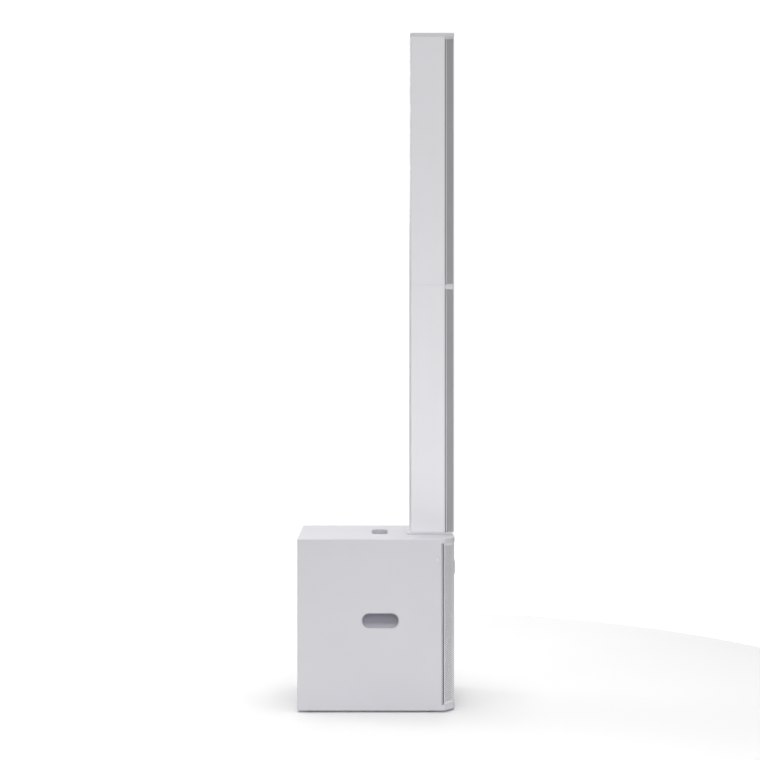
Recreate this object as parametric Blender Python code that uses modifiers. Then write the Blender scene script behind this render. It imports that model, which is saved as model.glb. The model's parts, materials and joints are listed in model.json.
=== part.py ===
"""Column loudspeaker: two stacked column elements standing on a powered subwoofer.

Metres, +Z up, the front faces -Y. The origin is on the floor, under the middle of the whole object.
"""

import math

import bmesh
import bpy
from mathutils import Matrix

# Subwoofer
WIDTH = 0.370
DEPTH = 0.464  # from the badge's face to the back
FEET_HEIGHT = 0.006
SUB_TOP = 0.507
WALL = 0.015
BADGE_PROUD = 0.0035  # the badge's face ahead of the top and bottom lips
CORNER_SETBACK = 0.033  # from the lips' front to where their sides start to slant
CORNER_SLANT = math.radians(42)
CORNER_RADIUS = 0.045
TOP_EDGE_RADIUS = 0.012
SMALL_EDGE_RADIUS = 0.0024
BOTTOM_EDGE_RADIUS = 0.0006
GRILLE_LOW = 0.023
GRILLE_HIGH = 0.493
GRILLE_INSET = 0.0015
SHEET = 0.0015
BAFFLE_THICK = 0.018
WOOFER_HEIGHT = 0.190
WOOFER_RADIUS = 0.148
PORT_SPREAD = 0.110
PORT_HEIGHT = 0.420
PORT_RADIUS = 0.0355
SIDE_PLUG = (-0.1764, 0.4445)  # the blanking plugs' place on the side panels
BADGE = (0.200, 0.036)
BADGE_HEIGHT = 0.411

# Hand holds
SIDE_HOLD = (0.108, 0.0435)
SIDE_HOLD_PLACE = (-0.0098, 0.268)
TOP_HOLD = (0.138, 0.050)
TOP_HOLD_PLACE = -0.009
HOLD_DEPTH = 0.045
HOLD_WALL = 0.002

# Rear amplifier
REAR_OPENING = (0.224, 0.364)
REAR_HEIGHT = 0.262
PANEL = (0.250, 0.390, 0.0025)
KNOB_PLACES = (-0.078, -0.026, 0.026, 0.078)
KNOB_HEIGHT = 0.404
SOCKET_HEIGHT = 0.345
SOCKET_PLACES = {"input_socket_1": -0.078, "input_socket_2": -0.032, "line_out_socket": 0.014}
BUTTON_PLACE = (0.052, 0.345)
LIGHT_PLACE = (0.080, 0.345)
INLET_PLACE = (-0.045, 0.112)
INLET_BODY = (0.0280, 0.0200)
INLET_POCKET = (0.0230, 0.0150)
ROCKER_PLACE = (0.030, 0.112)
ROCKER_FRAME = (0.0220, 0.0140)
ROCKER_WALL = 0.0012
FLANGE = 0.002  # thickness of the sockets', inlet's and switch's flanges
ROCKER_TILT = math.radians(10)

# Column
COLUMN_WIDTH = 0.120
COLUMN_REAR = -0.100
COLUMN_SIDE = 0.104
COLUMN_FRONT = -0.2315
COLUMN_SHEET = 0.0012
COLUMN_GRILLE_INSET = 0.0005
COLUMN_WALL = 0.003
COLUMN_CORNER = 0.005
COLUMN_BAFFLE_THICK = 0.008
DOCK_TOP = 0.511
JOINT = 1.253
TOP = 2.010
CAP = 0.011
DRIVER_RADIUS = 0.0505
LOWER_DRIVERS = (0.603, 0.787, 0.971, 1.155)
UPPER_DRIVERS = (1.345, 1.530, 1.715)
WAVEGUIDE_HEIGHT = 1.900
PLUG_DEPTH = -0.145  # the plugs' and guide pins' place from front to back
PIN_SPREAD = 0.040
PIN_LENGTH = 0.022
PLUG_BODY = (0.0580, 0.0320)  # the opening in a foot cap
SOCKET_BODY = (0.0530, 0.0270)  # the opening in a head cap or the dock plate

GAP = 0.0003  # clearance between pieces that touch
BACK = DEPTH / 2
LIP_FRONT = BADGE_PROUD - DEPTH / 2
PANEL_EDGE = LIP_FRONT + 0.0355  # front edge of the side panels
BAFFLE_FRONT = PANEL_EDGE
PANEL_FACE = BACK - WALL - GAP
HOUSING_FRONT = COLUMN_REAR - COLUMN_SIDE
COLUMN_BAFFLE_FRONT = HOUSING_FRONT - 0.005
INSIDE_GRILLE = COLUMN_FRONT + COLUMN_GRILLE_INSET + COLUMN_SHEET + GAP
INNER_HALF = WIDTH / 2 - WALL

PLAN = Matrix.Identity(4)
SIDE = Matrix(((0, 0, 1, 0), (1, 0, 0, 0), (0, 1, 0, 0), (0, 0, 0, 1)))
FACE = Matrix(((1, 0, 0, 0), (0, 0, -1, 0), (0, 1, 0, 0), (0, 0, 0, 1)))

PAINTS = {
    "cabinet_paint": ((0.80, 0.79, 0.83), 0.45, 0.0),
    "grille_paint": ((0.78, 0.77, 0.80), 0.40, 0.0),
    "column_paint": ((0.82, 0.81, 0.85), 0.40, 0.0),
    "moulded_white": ((0.72, 0.71, 0.75), 0.50, 0.0),
    "hold_grey": ((0.42, 0.41, 0.47), 0.55, 0.0),
    "board": ((0.45, 0.34, 0.22), 0.80, 0.0),
    "black_plastic": ((0.03, 0.03, 0.03), 0.45, 0.0),
    "panel_paint": ((0.06, 0.06, 0.065), 0.50, 0.2),
    "rubber": ((0.02, 0.02, 0.02), 0.85, 0.0),
    "cone_paper": ((0.05, 0.05, 0.055), 0.75, 0.0),
    "basket_metal": ((0.10, 0.10, 0.10), 0.50, 0.6),
    "magnet_metal": ((0.35, 0.35, 0.36), 0.35, 0.9),
    "heat_sink_metal": ((0.12, 0.12, 0.13), 0.40, 0.8),
    "circuit_board": ((0.04, 0.20, 0.08), 0.50, 0.0),
    "copper": ((0.60, 0.28, 0.14), 0.35, 0.9),
    "light_lens": ((0.10, 0.60, 0.20), 0.20, 0.0),
}


def clear_scene():
    """Removes whatever the scene held before."""
    for leftover in list(bpy.data.objects):
        bpy.data.objects.remove(leftover)


def collection(name):
    """A new collection in the scene."""
    made = bpy.data.collections.new(name)
    bpy.context.scene.collection.children.link(made)
    return made


def paint(name, node):
    """A material of the named colour for one sub-part."""
    colour, roughness, metallic = PAINTS[name]
    made = bpy.data.materials.new(f"{node}_{name}")
    made.use_nodes = True
    shader = made.node_tree.nodes["Principled BSDF"]
    shader.inputs["Base Color"].default_value = (*colour, 1.0)
    shader.inputs["Roughness"].default_value = roughness
    shader.inputs["Metallic"].default_value = metallic
    return made


def place(name, mesh, location, paint_name=None):
    """Puts a mesh in the scene: a painted sub-part, or a cutter if it has no paint."""
    made = bpy.data.objects.new(name, mesh)
    made.location = location
    if paint_name is None:
        CUTTERS.objects.link(made)
        made.hide_render = True
        made.display_type = "WIRE"
    else:
        PARTS.objects.link(made)
        mesh.materials.append(paint(paint_name, name))
    return made


def to_mesh(name, shape, smooth=False):
    """Turns a bmesh into a mesh, and frees it."""
    mesh = bpy.data.meshes.new(name)
    bmesh.ops.recalc_face_normals(shape, faces=shape.faces)
    shape.to_mesh(mesh)
    shape.free()
    if smooth:
        mesh.shade_smooth()
        mesh.set_sharp_from_angle(angle=math.radians(35))
    return mesh


def box(name, low, high, paint_name=None):
    """A block between two corners."""
    shape = bmesh.new()
    bmesh.ops.create_cube(shape, size=1)
    bmesh.ops.scale(shape, vec=[b - a for a, b in zip(low, high)], verts=shape.verts)
    middle = [(a + b) / 2 for a, b in zip(low, high)]
    return place(name, to_mesh(name, shape), middle, paint_name)


def drum(name, radius, length, centre, turn=PLAN, paint_name=None, segments=24, tip=None):
    """A cylinder, or a cone if tip gives its other radius, along the turned Z axis."""
    shape = bmesh.new()
    tip_radius = radius if tip is None else tip
    bmesh.ops.create_cone(
        shape, cap_ends=True, segments=segments, radius1=radius, radius2=tip_radius, depth=length
    )
    bmesh.ops.transform(shape, matrix=turn, verts=shape.verts)
    return place(name, to_mesh(name, shape, smooth=True), centre, paint_name)


def turned(name, profile, centre, paint_name, segments=32, closed=False):
    """A turned piece whose axis points to the front, from (radius, height) points, top to bottom."""
    mesh = bpy.data.meshes.new(name)
    points = [(radius, 0, height) for radius, height in profile]
    edges = [(i, i + 1) for i in range(len(points) - 1)]
    if closed:
        edges.append((len(points) - 1, 0))
    mesh.from_pydata(points, edges, [])
    made = place(name, mesh, centre, paint_name)
    made.rotation_euler = (math.pi / 2, 0, 0)
    screw = made.modifiers.new("turn", "SCREW")
    screw.steps = segments
    screw.render_steps = segments
    screw.use_merge_vertices = True
    screw.merge_threshold = 0.00001
    screw.use_smooth_shade = True
    return made


def arc(centre, radius, start, end, steps):
    """Points of an arc in the plane, from one angle to another in degrees."""
    points = []
    for step in range(steps + 1):
        angle = math.radians(start + (end - start) * step / steps)
        points.append((centre[0] + radius * math.cos(angle), centre[1] + radius * math.sin(angle)))
    return points


def rounded_rectangle(width, height, radius, steps=4):
    """An outline of a rectangle with round corners, about the origin."""
    points = []
    for index, (x, y) in enumerate(((1, 1), (-1, 1), (-1, -1), (1, -1))):
        centre = (x * (width / 2 - radius), y * (height / 2 - radius))
        points += arc(centre, radius, 90 * index, 90 * index + 90, steps)
    return [p for i, p in enumerate(points) if math.dist(p, points[i - 1]) > 1e-6]


def mirrored(half):
    """A whole outline from its right half, listed from the middle line round to the middle line."""
    return half + [(-x, y) for x, y in reversed(half)]


def slab(name, outline, thick, centre, turn=PLAN, paint_name=None, edge_radius=None):
    """A flat outline with a thickness, centred on its place. edge_radius(edge) gives bevel weights."""
    curve = bpy.data.curves.new(name, "CURVE")
    curve.dimensions = "2D"
    curve.fill_mode = "BOTH"
    curve.extrude = thick / 2
    spline = curve.splines.new("POLY")
    spline.points.add(len(outline) - 1)
    for point, (x, y) in zip(spline.points, outline):
        point.co = (x, y, 0, 1)
    spline.use_cyclic_u = True
    carrier = bpy.data.objects.new(name, curve)
    bpy.context.scene.collection.objects.link(carrier)
    evaluated = carrier.evaluated_get(bpy.context.evaluated_depsgraph_get())
    flat = bpy.data.meshes.new_from_object(evaluated)
    bpy.data.objects.remove(carrier)
    bpy.data.curves.remove(curve)
    shape = bmesh.new()
    shape.from_mesh(flat)
    bpy.data.meshes.remove(flat)
    bmesh.ops.remove_doubles(shape, verts=shape.verts, dist=0.00001)
    bmesh.ops.dissolve_limit(
        shape, angle_limit=math.radians(1), use_dissolve_boundaries=False,
        verts=shape.verts, edges=shape.edges,
    )
    bmesh.ops.transform(shape, matrix=turn, verts=shape.verts)
    if edge_radius is not None:
        weights = shape.edges.layers.float.new("bevel_weight_edge")
        for edge in shape.edges:
            edge[weights] = edge_radius(edge)
    return place(name, to_mesh(name, shape), centre, paint_name)


def bevel_weighted(target, width, segments):
    """Rounds the edges that carry a bevel weight."""
    bevel = target.modifiers.new("edges", "BEVEL")
    bevel.limit_method = "WEIGHT"
    bevel.width = width
    bevel.segments = segments


def bevel_all(target, width, segments=1):
    """Rounds every sharp edge."""
    bevel = target.modifiers.new("edges", "BEVEL")
    bevel.limit_method = "ANGLE"
    bevel.angle_limit = math.radians(40)
    bevel.width = width
    bevel.segments = segments


def boolean(target, other, operation):
    """Cuts other from target, or joins it to target."""
    step = target.modifiers.new(other.name, "BOOLEAN")
    step.operation = operation
    step.object = other
    step.solver = "EXACT"


def cut(target, *others):
    """Cuts shapes from target."""
    for other in others:
        boolean(target, other, "DIFFERENCE")


def join(target, *others):
    """Joins shapes to target."""
    for other in others:
        boolean(target, other, "UNION")


def spin(turn_degrees, axis):
    """A rotation about an axis of the scene."""
    return Matrix.Rotation(math.radians(turn_degrees), 4, axis)


ALONG_Y = spin(90, "X")
ALONG_X = spin(90, "Y")


# ---- Subwoofer ----


def front_corner(inset):
    """The right front corner in plan: from the side, along the slant, round to the flat front."""
    slant_x = CORNER_SETBACK / math.tan(CORNER_SLANT)
    centre_x = WIDTH / 2 - slant_x - CORNER_RADIUS * math.tan(CORNER_SLANT / 2)
    start = (
        WIDTH / 2 - inset * math.sin(CORNER_SLANT),
        LIP_FRONT + CORNER_SETBACK + inset * math.cos(CORNER_SLANT),
    )
    slant_end = math.degrees(CORNER_SLANT) - 90
    round_end = arc((centre_x, LIP_FRONT + CORNER_RADIUS), CORNER_RADIUS - inset, slant_end, -90, 5)
    return [start, *round_end]


def outer_edge_weight(edge):
    """Large rounding along the two top side edges, small along the other outer edges."""
    a, b = (vert.co for vert in edge.verts)
    along_side = abs(a.x) > WIDTH / 2 - 0.001 and abs(b.x) > WIDTH / 2 - 0.001
    level = abs(a.z - b.z) < 0.001
    if level and a.z < 0:
        return BOTTOM_EDGE_RADIUS / TOP_EDGE_RADIUS
    if level and along_side:
        return 1.0
    if not level and a.y < 0:
        return 0.0
    return SMALL_EDGE_RADIUS / TOP_EDGE_RADIUS


def cabinet():
    """The cabinet shell, open at the front and at the amplifier's place in the back."""
    outline = mirrored([(WIDTH / 2, BACK), *front_corner(0)])
    height = SUB_TOP - FEET_HEIGHT
    middle = FEET_HEIGHT + height / 2
    shell = slab("cabinet", outline, height, (0, 0, middle), PLAN, "cabinet_paint", outer_edge_weight)
    bevel_weighted(shell, TOP_EDGE_RADIUS, 4)

    slant = 0.009
    outer = WIDTH / 2 + 0.02
    pocket_half = [
        (outer, PANEL_EDGE + slant + 0.02),
        (WIDTH / 2 - slant, PANEL_EDGE),
    ]
    pocket_outline = [*mirrored(pocket_half), (-outer, -DEPTH), (outer, -DEPTH)]
    grille_height = GRILLE_HIGH - GRILLE_LOW
    grille_middle = (GRILLE_HIGH + GRILLE_LOW) / 2
    pocket = slab("front_pocket", pocket_outline, grille_height, (0, 0, grille_middle))
    hollow = box(
        "cabinet_hollow",
        (-INNER_HALF, -DEPTH, GRILLE_LOW),
        (INNER_HALF, BACK - WALL, GRILLE_HIGH),
    )
    rear = slab(
        "rear_opening",
        rounded_rectangle(*REAR_OPENING, 0.008),
        0.1,
        (0, BACK, REAR_HEIGHT),
        FACE,
    )
    side_hold = slab(
        "side_hold_hole",
        rounded_rectangle(*SIDE_HOLD, SIDE_HOLD[1] / 2 - 0.0005, 6),
        WIDTH * 2,
        (0, *SIDE_HOLD_PLACE),
        SIDE,
    )
    top_hold = slab(
        "top_hold_hole",
        rounded_rectangle(*TOP_HOLD, TOP_HOLD[1] / 2 - 0.0005, 6),
        0.06,
        (0, TOP_HOLD_PLACE, SUB_TOP),
    )
    plug_hole = box(
        "dock_plug_hole",
        (-0.029, PLUG_DEPTH - 0.016, GRILLE_HIGH - 0.02),
        (0.029, PLUG_DEPTH + 0.016, SUB_TOP + 0.02),
    )
    cut(shell, pocket, hollow, rear, side_hold, top_hold, plug_hole)
    for side in (-1, 1):
        pin_place = (side * PIN_SPREAD, PLUG_DEPTH, SUB_TOP)
        cut(shell, drum(f"dock_pin_hole_{side}", 0.0065, 0.08, pin_place))
        plug_place = (side * WIDTH / 2, *SIDE_PLUG)
        cut(shell, drum(f"side_plug_hole_{side}", 0.0043, 0.006, plug_place, ALONG_X, segments=16))


def side_plugs():
    """The small blanking plug near each side panel's front top corner."""
    for name, side in (("side_plug_left", -1), ("side_plug_right", 1)):
        centre = (side * (WIDTH / 2 - 0.0011), *SIDE_PLUG)
        drum(name, 0.0040, 0.0030, centre, ALONG_X, "moulded_white", segments=16)


def hold_cup(name, size, centre, turn, outward):
    """A moulded oblong cup behind a hand hold, open on its outer side."""
    width, height = size
    outer_outline = rounded_rectangle(width - 2 * GAP, height - 2 * GAP, height / 2 - 0.001, 6)
    inner_width = width - 2 * (GAP + HOLD_WALL)
    inner_height = height - 2 * (GAP + HOLD_WALL)
    inner_outline = rounded_rectangle(inner_width, inner_height, inner_height / 2 - 0.0005, 6)
    cup = slab(name, outer_outline, HOLD_DEPTH, centre, turn, "hold_grey")
    shift = [place + step * HOLD_WALL for place, step in zip(centre, outward)]
    hollow = slab(f"{name}_hollow", inner_outline, HOLD_DEPTH, shift, turn)
    cut(cup, hollow)


def hand_holds():
    """The two side cups and the top cup."""
    depth_middle = HOLD_DEPTH / 2 + 0.0005
    for name, side in (("side_hold_cup_left", -1), ("side_hold_cup_right", 1)):
        centre = (side * (WIDTH / 2 - depth_middle), *SIDE_HOLD_PLACE)
        hold_cup(name, SIDE_HOLD, centre, SIDE, (side, 0, 0))
    hold_cup("top_hold_cup", TOP_HOLD, (0, TOP_HOLD_PLACE, SUB_TOP - depth_middle), PLAN, (0, 0, 1))


def sub_grille():
    """The front grille sheet, which slants back at both sides, and the badge on it."""
    outer = front_corner(GRILLE_INSET)
    inner = front_corner(GRILLE_INSET + SHEET)
    outline = outer + [(-x, y) for x, y in reversed(outer)]
    outline += inner_mirror(inner)
    height = GRILLE_HIGH - GRILLE_LOW - 2 * GAP
    middle = (0, 0, (GRILLE_HIGH + GRILLE_LOW) / 2)
    slab("sub_grille", outline, height, middle, PLAN, "grille_paint")
    badge_back = LIP_FRONT + GRILLE_INSET - GAP
    badge_front = -DEPTH / 2
    badge = slab(
        "grille_badge",
        rounded_rectangle(*BADGE, 0.006),
        badge_back - badge_front,
        (0, (badge_back + badge_front) / 2, BADGE_HEIGHT),
        FACE,
        "moulded_white",
    )
    bevel_all(badge, 0.0008)


def inner_mirror(inner):
    """The inner line of a bent sheet, from left to right, to close its outer line."""
    return [(-x, y) for x, y in inner] + list(reversed(inner))


def front_baffle():
    """The board that carries the woofer and the ports."""
    width = 2 * (INNER_HALF - GAP)
    height = GRILLE_HIGH - GRILLE_LOW - 2 * GAP
    outline = rounded_rectangle(width, height, 0.002, 1)
    middle_y = BAFFLE_FRONT + BAFFLE_THICK / 2
    middle = (0, middle_y, (GRILLE_HIGH + GRILLE_LOW) / 2)
    board = slab("front_baffle", outline, BAFFLE_THICK, middle, FACE, "board")
    woofer_place = (0, middle_y, WOOFER_HEIGHT)
    cut(board, drum("woofer_hole", 0.1400, 0.06, woofer_place, ALONG_Y, segments=24))
    for side in (-1, 1):
        centre = (side * PORT_SPREAD, middle_y, PORT_HEIGHT)
        cut(board, drum(f"port_hole_{side}", PORT_RADIUS + 2 * GAP, 0.06, centre, ALONG_Y, segments=20))


def woofer():
    """The woofer: basket, magnet, surround, and the cone, its coil former and dust cap, which move."""
    centre = (0, BAFFLE_FRONT, WOOFER_HEIGHT)
    basket = [
        (0.1372, 0.006), (WOOFER_RADIUS, 0.006), (WOOFER_RADIUS, GAP), (0.1385, GAP),
        (0.1375, -0.020), (0.075, -0.078), (0.060, -0.078), (0.060, -0.074),
        (0.072, -0.074), (0.1345, -0.017),
    ]
    turned("woofer_basket", basket, centre, "basket_metal", 24, closed=True)
    magnet = [
        (0.0120, -0.0783), (0.0320, -0.0783), (0.0320, -0.1080), (0.0370, -0.1080),
        (0.0370, -0.0783), (0.0780, -0.0783), (0.0780, -0.1180), (0.0120, -0.1180),
    ]
    turned("woofer_magnet", magnet, centre, "magnet_metal", 24, closed=True)
    surround = [
        (0.1226, 0.0025), (0.1250, 0.0070), (0.1290, 0.0085), (0.1330, 0.0070), (0.1364, 0.0025),
        (0.1364, 0.0010), (0.1315, 0.0050), (0.1265, 0.0050), (0.1226, 0.0010),
    ]
    turned("woofer_surround", surround, centre, "rubber", 24, closed=True)
    cone = [
        (0.0335, -0.0400), (0.0352, -0.0400), (0.1200, 0.0015), (0.1220, 0.0015), (0.1220, -0.0005),
        (0.1205, -0.0005), (0.0352, -0.0430), (0.0352, -0.0860), (0.0335, -0.0860),
    ]
    turned("woofer_cone", cone, centre, "cone_paper", 24, closed=True)
    turned("woofer_dust_cap", cap_profile(), centre, "cone_paper", 24)


def cap_profile():
    """The dust cap's dome, a spherical segment over the cone's throat."""
    rim_radius = 0.0330
    rim_height = -0.0388
    rise = 0.013
    sphere = (rim_radius**2 + rise**2) / (2 * rise)
    dome = []
    for step in range(6):
        radius = rim_radius * step / 5
        dome.append((radius, rim_height + rise - sphere + math.sqrt(sphere**2 - radius**2)))
    return [*dome, (rim_radius, rim_height - 0.0004), (0, rim_height - 0.0004)]


def ports():
    """The two bass reflex tubes."""
    profile = [
        (0.0385, 0.0035), (0.0415, 0.0035), (0.0415, GAP), (PORT_RADIUS, GAP), (PORT_RADIUS, -0.150),
        (0.0330, -0.150), (0.0330, -0.012),
    ]
    for name, side in (("port_tube_left", -1), ("port_tube_right", 1)):
        centre = (side * PORT_SPREAD, BAFFLE_FRONT, PORT_HEIGHT)
        turned(name, profile, centre, "black_plastic", 20, closed=True)


def brace():
    """The window-shaped board that stiffens the cabinet's middle."""
    width = 2 * (INNER_HALF - GAP)
    height = GRILLE_HIGH - GRILLE_LOW - 2 * GAP
    middle = (0, 0.083, (GRILLE_HIGH + GRILLE_LOW) / 2)
    outline = rounded_rectangle(width, height, 0.002, 1)
    board = slab("cabinet_brace", outline, WALL, middle, FACE, "board")
    window = slab("brace_window", rounded_rectangle(0.230, 0.330, 0.030), 0.05, middle, FACE)
    cut(board, window)


def feet():
    """The four rubber feet."""
    for name, x, y in (
        ("foot_front_left", -0.150, -0.160),
        ("foot_front_right", 0.150, -0.160),
        ("foot_rear_left", -0.150, 0.195),
        ("foot_rear_right", 0.150, 0.195),
    ):
        height = FEET_HEIGHT - GAP
        drum(name, 0.016, height, (x, y, height / 2), PLAN, "rubber", tip=0.018)


def dock():
    """The docking plate on the cabinet's top, and the socket in it."""
    low_y, high_y = LIP_FRONT + 0.0025, COLUMN_REAR + 0.011
    outline = rounded_rectangle(0.144, high_y - low_y, 0.004, 2)
    bottom = SUB_TOP + GAP
    centre = (0, (low_y + high_y) / 2, (bottom + DOCK_TOP) / 2)
    plate = slab("dock_plate", outline, DOCK_TOP - bottom, centre, PLAN, "moulded_white")
    cut(plate, plug_cutter("dock_plate_hole", SOCKET_BODY, DOCK_TOP))
    for side in (-1, 1):
        pin_place = (side * PIN_SPREAD, PLUG_DEPTH, DOCK_TOP)
        cut(plate, drum(f"dock_plate_pin_hole_{side}", 0.0056, 0.03, pin_place))
    socket("dock_socket", DOCK_TOP)


def plug_cutter(name, size, z):
    """A cutter for a plug's or socket's opening in a level plate."""
    half_x, half_y, reach = size[0] / 2, size[1] / 2, 0.03
    return box(
        name,
        (-half_x, PLUG_DEPTH - half_y, z - reach),
        (half_x, PLUG_DEPTH + half_y, z + reach),
    )


def socket(name, top):
    """A multi-pin socket whose mouth opens upward at the given height."""
    body = box(
        name,
        (-0.0260, PLUG_DEPTH - 0.0130, top - 0.028),
        (0.0260, PLUG_DEPTH + 0.0130, top - 0.0008),
        "black_plastic",
    )
    mouth = box(
        f"{name}_mouth",
        (-0.0215, PLUG_DEPTH - 0.0085, top - 0.0095),
        (0.0215, PLUG_DEPTH + 0.0085, top + 0.01),
    )
    cut(body, mouth)


# ---- Amplifier ----


def amplifier():
    """The rear panel with its cut-outs."""
    width, height, thick = PANEL
    outline = rounded_rectangle(width, height, 0.006, 2)
    panel_middle = PANEL_FACE - thick / 2
    panel = slab("amp_panel", outline, thick, (0, panel_middle, REAR_HEIGHT), FACE, "panel_paint")
    holes = [(f"knob_{i}", (x, KNOB_HEIGHT), 0.0036, 16) for i, x in enumerate(KNOB_PLACES)]
    holes += [(name, (x, SOCKET_HEIGHT), 0.0120, 24) for name, x in SOCKET_PLACES.items()]
    holes += [("button", BUTTON_PLACE, 0.0046, 16), ("light", LIGHT_PLACE, 0.0026, 16)]
    for name, (x, z), radius, segments in holes:
        cut(panel, drum(f"{name}_hole", radius, 0.02, (x, PANEL_FACE, z), ALONG_Y, segments=segments))
    windows = (("inlet", INLET_PLACE, INLET_BODY), ("rocker", ROCKER_PLACE, ROCKER_FRAME))
    for name, centre, size in windows:
        window = (size[0] + 2 * GAP, size[1] + 2 * GAP)
        cut(panel, panel_block(f"{name}_hole", centre, window, -0.01, 0.01))


def panel_block(name, centre, size, back, front):
    """A block through the rear panel, between two distances from its outer face."""
    x, z = centre
    half_x, half_z = size[0] / 2, size[1] / 2
    return box(
        name,
        (x - half_x, PANEL_FACE + back, z - half_z),
        (x + half_x, PANEL_FACE + front, z + half_z),
    )


def panel_flange(name, centre, size, corner):
    """A thin flange that rests on the rear panel's outer face."""
    x, z = centre
    middle = (x, PANEL_FACE + GAP + FLANGE / 2, z)
    return slab(name, rounded_rectangle(*size, corner, 2), FLANGE, middle, FACE, "black_plastic")


def transformer():
    """The ring-shaped mains transformer on the cabinet's floor."""
    bpy.ops.mesh.primitive_torus_add(
        major_segments=20, minor_segments=10, major_radius=0.034, minor_radius=0.017,
        location=(0.085, 0.150, GRILLE_LOW + 0.0173),
    )
    ring = bpy.context.object
    ring.name = "amp_transformer"
    for home in list(ring.users_collection):
        home.objects.unlink(ring)
    PARTS.objects.link(ring)
    ring.data.shade_smooth()
    ring.data.materials.append(paint("copper", ring.name))


def heat_sink():
    """The finned heat sink on the panel's outside."""
    fins = 20
    pitch = 0.0095
    fin_thick = 0.0022
    base = 0.003
    fin_height = 0.0115
    half = (fins - 1) * pitch / 2 + fin_thick / 2
    outline = [(half, 0), (-half, 0)]
    for index in range(fins):
        left = -half + index * pitch
        outline += [(left, fin_height), (left + fin_thick, fin_height)]
        if index < fins - 1:
            outline += [(left + fin_thick, base), (left + pitch, base)]
    slab("heat_sink", outline, 0.150, (0, PANEL_FACE + GAP, 0.228), PLAN, "heat_sink_metal")


def board():
    """The amplifier's circuit board with its tall components, upright behind the panel."""
    plate = box("amp_board", (-0.095, 0.1780, 0.130), (0.095, 0.1796, 0.330), "circuit_board")
    capacitors = ((-0.06, 0.30, 0.012), (-0.03, 0.30, 0.012), (0.06, 0.20, 0.014))
    for index, (x, z, radius) in enumerate(capacitors):
        centre = (x, 0.1632, z)
        join(plate, drum(f"capacitor_{index}", radius, 0.032, centre, ALONG_Y, segments=16))
    join(plate, box("power_choke", (-0.04, 0.155, 0.16), (0.0, 0.179, 0.20)))
    join(plate, box("heat_bridge", (-0.085, 0.179, 0.215), (0.085, 0.2110, 0.235)))


def panel_socket(name, x):
    """A round connector on the panel: a flange outside and a bored barrel through it."""
    z = SOCKET_HEIGHT
    flange = panel_flange(name, (x, z), (0.026, 0.031), 0.003)
    join(flange, drum(f"{name}_barrel", 0.0117, 0.026, (x, PANEL_FACE - 0.0112, z), ALONG_Y))
    cut(flange, drum(f"{name}_bore", 0.0085, 0.020, (x, PANEL_FACE - 0.0060, z), ALONG_Y))


def mains_inlet():
    """The mains inlet: a flanged body with the plug's pocket."""
    flange = panel_flange("mains_inlet", INLET_PLACE, (0.050, 0.026), 0.004)
    join(flange, panel_block("inlet_body", INLET_PLACE, INLET_BODY, -0.024, 0.001))
    cut(flange, panel_block("inlet_pocket", INLET_PLACE, INLET_POCKET, -0.015, 0.010))


def rocker_frame():
    """The power switch's frame, with the well that the rocker tips in."""
    frame = panel_flange("rocker_frame", ROCKER_PLACE, (0.028, 0.020), 0.002)
    inner = [size - 2 * ROCKER_WALL for size in ROCKER_FRAME]
    join(frame, panel_block("rocker_well", ROCKER_PLACE, ROCKER_FRAME, -0.018, 0.001))
    cut(frame, panel_block("rocker_hollow", ROCKER_PLACE, inner, -0.0165, 0.010))


def power_rocker():
    """The rocker, in its off position. Its outline is (height, depth), extruded from side to side."""
    x, z = ROCKER_PLACE
    reach = ROCKER_FRAME[1] / 2 - 0.0020
    outline = [
        (reach, 0.0012), (reach, 0.0040), (0, 0.0022), (-reach, 0.0040), (-reach, 0.0012),
        (-0.0025, -0.0050), (0.0025, -0.0050),
    ]
    upright = Matrix(((0, 0, 1, 0), (0, 1, 0, 0), (-1, 0, 0, 0), (0, 0, 0, 1)))
    turn = Matrix.Rotation(-ROCKER_TILT, 4, "X") @ upright
    width = ROCKER_FRAME[0] - 0.0034
    centre = (x, PANEL_FACE - 0.0010, z)
    rocker = slab("power_rocker", outline, width, centre, turn, "black_plastic")
    bevel_all(rocker, 0.0003)


def knobs():
    """The four rotary controls, each with its shaft through the panel."""
    profile = [
        (0, 0.0125), (0.0060, 0.0125), (0.0068, 0.0115), (0.0078, 0.0020), (0.0090, 0.0010),
        (0.0090, 0.0006), (0.0030, 0.0006), (0.0030, -0.0120), (0, -0.0120),
    ]
    for index, x in enumerate(KNOB_PLACES, 1):
        centre = (x, PANEL_FACE, KNOB_HEIGHT)
        knob = turned(f"level_knob_{index}", profile, centre, "black_plastic", 16)
        knob.rotation_euler = (-math.pi / 2, 0, 0)


def panel_small_parts():
    """The mode button and the status light."""
    x, z = BUTTON_PLACE
    centre = (x, PANEL_FACE - 0.0035, z)
    button = drum("mode_button", 0.0043, 0.016, centre, ALONG_Y, "black_plastic", 16)
    bevel_all(button, 0.0004)
    x, z = LIGHT_PLACE
    drum("status_light", 0.0023, 0.009, (x, PANEL_FACE - 0.0030, z), ALONG_Y, "light_lens", 16)


# ---- Column ----


def housing(name, low, high):
    """A U-shaped column housing, open at the front, with eased front edges."""
    outer = COLUMN_WIDTH / 2
    inner = outer - COLUMN_WALL
    corner = COLUMN_CORNER
    ease = 0.0012
    half = [
        *reversed(arc((outer - corner, COLUMN_REAR - corner), corner, 0, 90, 3)),
        (outer, HOUSING_FRONT + ease),
        (outer - ease, HOUSING_FRONT),
        (inner, HOUSING_FRONT),
        *arc((inner - 0.002, COLUMN_REAR - COLUMN_WALL - 0.002), 0.002, 0, 90, 1),
    ]
    middle = (0, 0, (low + high) / 2)
    return slab(name, mirrored(half), high - low, middle, PLAN, "column_paint")


def wrap(half_width, back, front, corner):
    """The right half of a U in plan: from its back end along the side, round to the front."""
    return [(half_width, back), *arc((half_width - corner, front + corner), corner, 0, -90, 4)]


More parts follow.
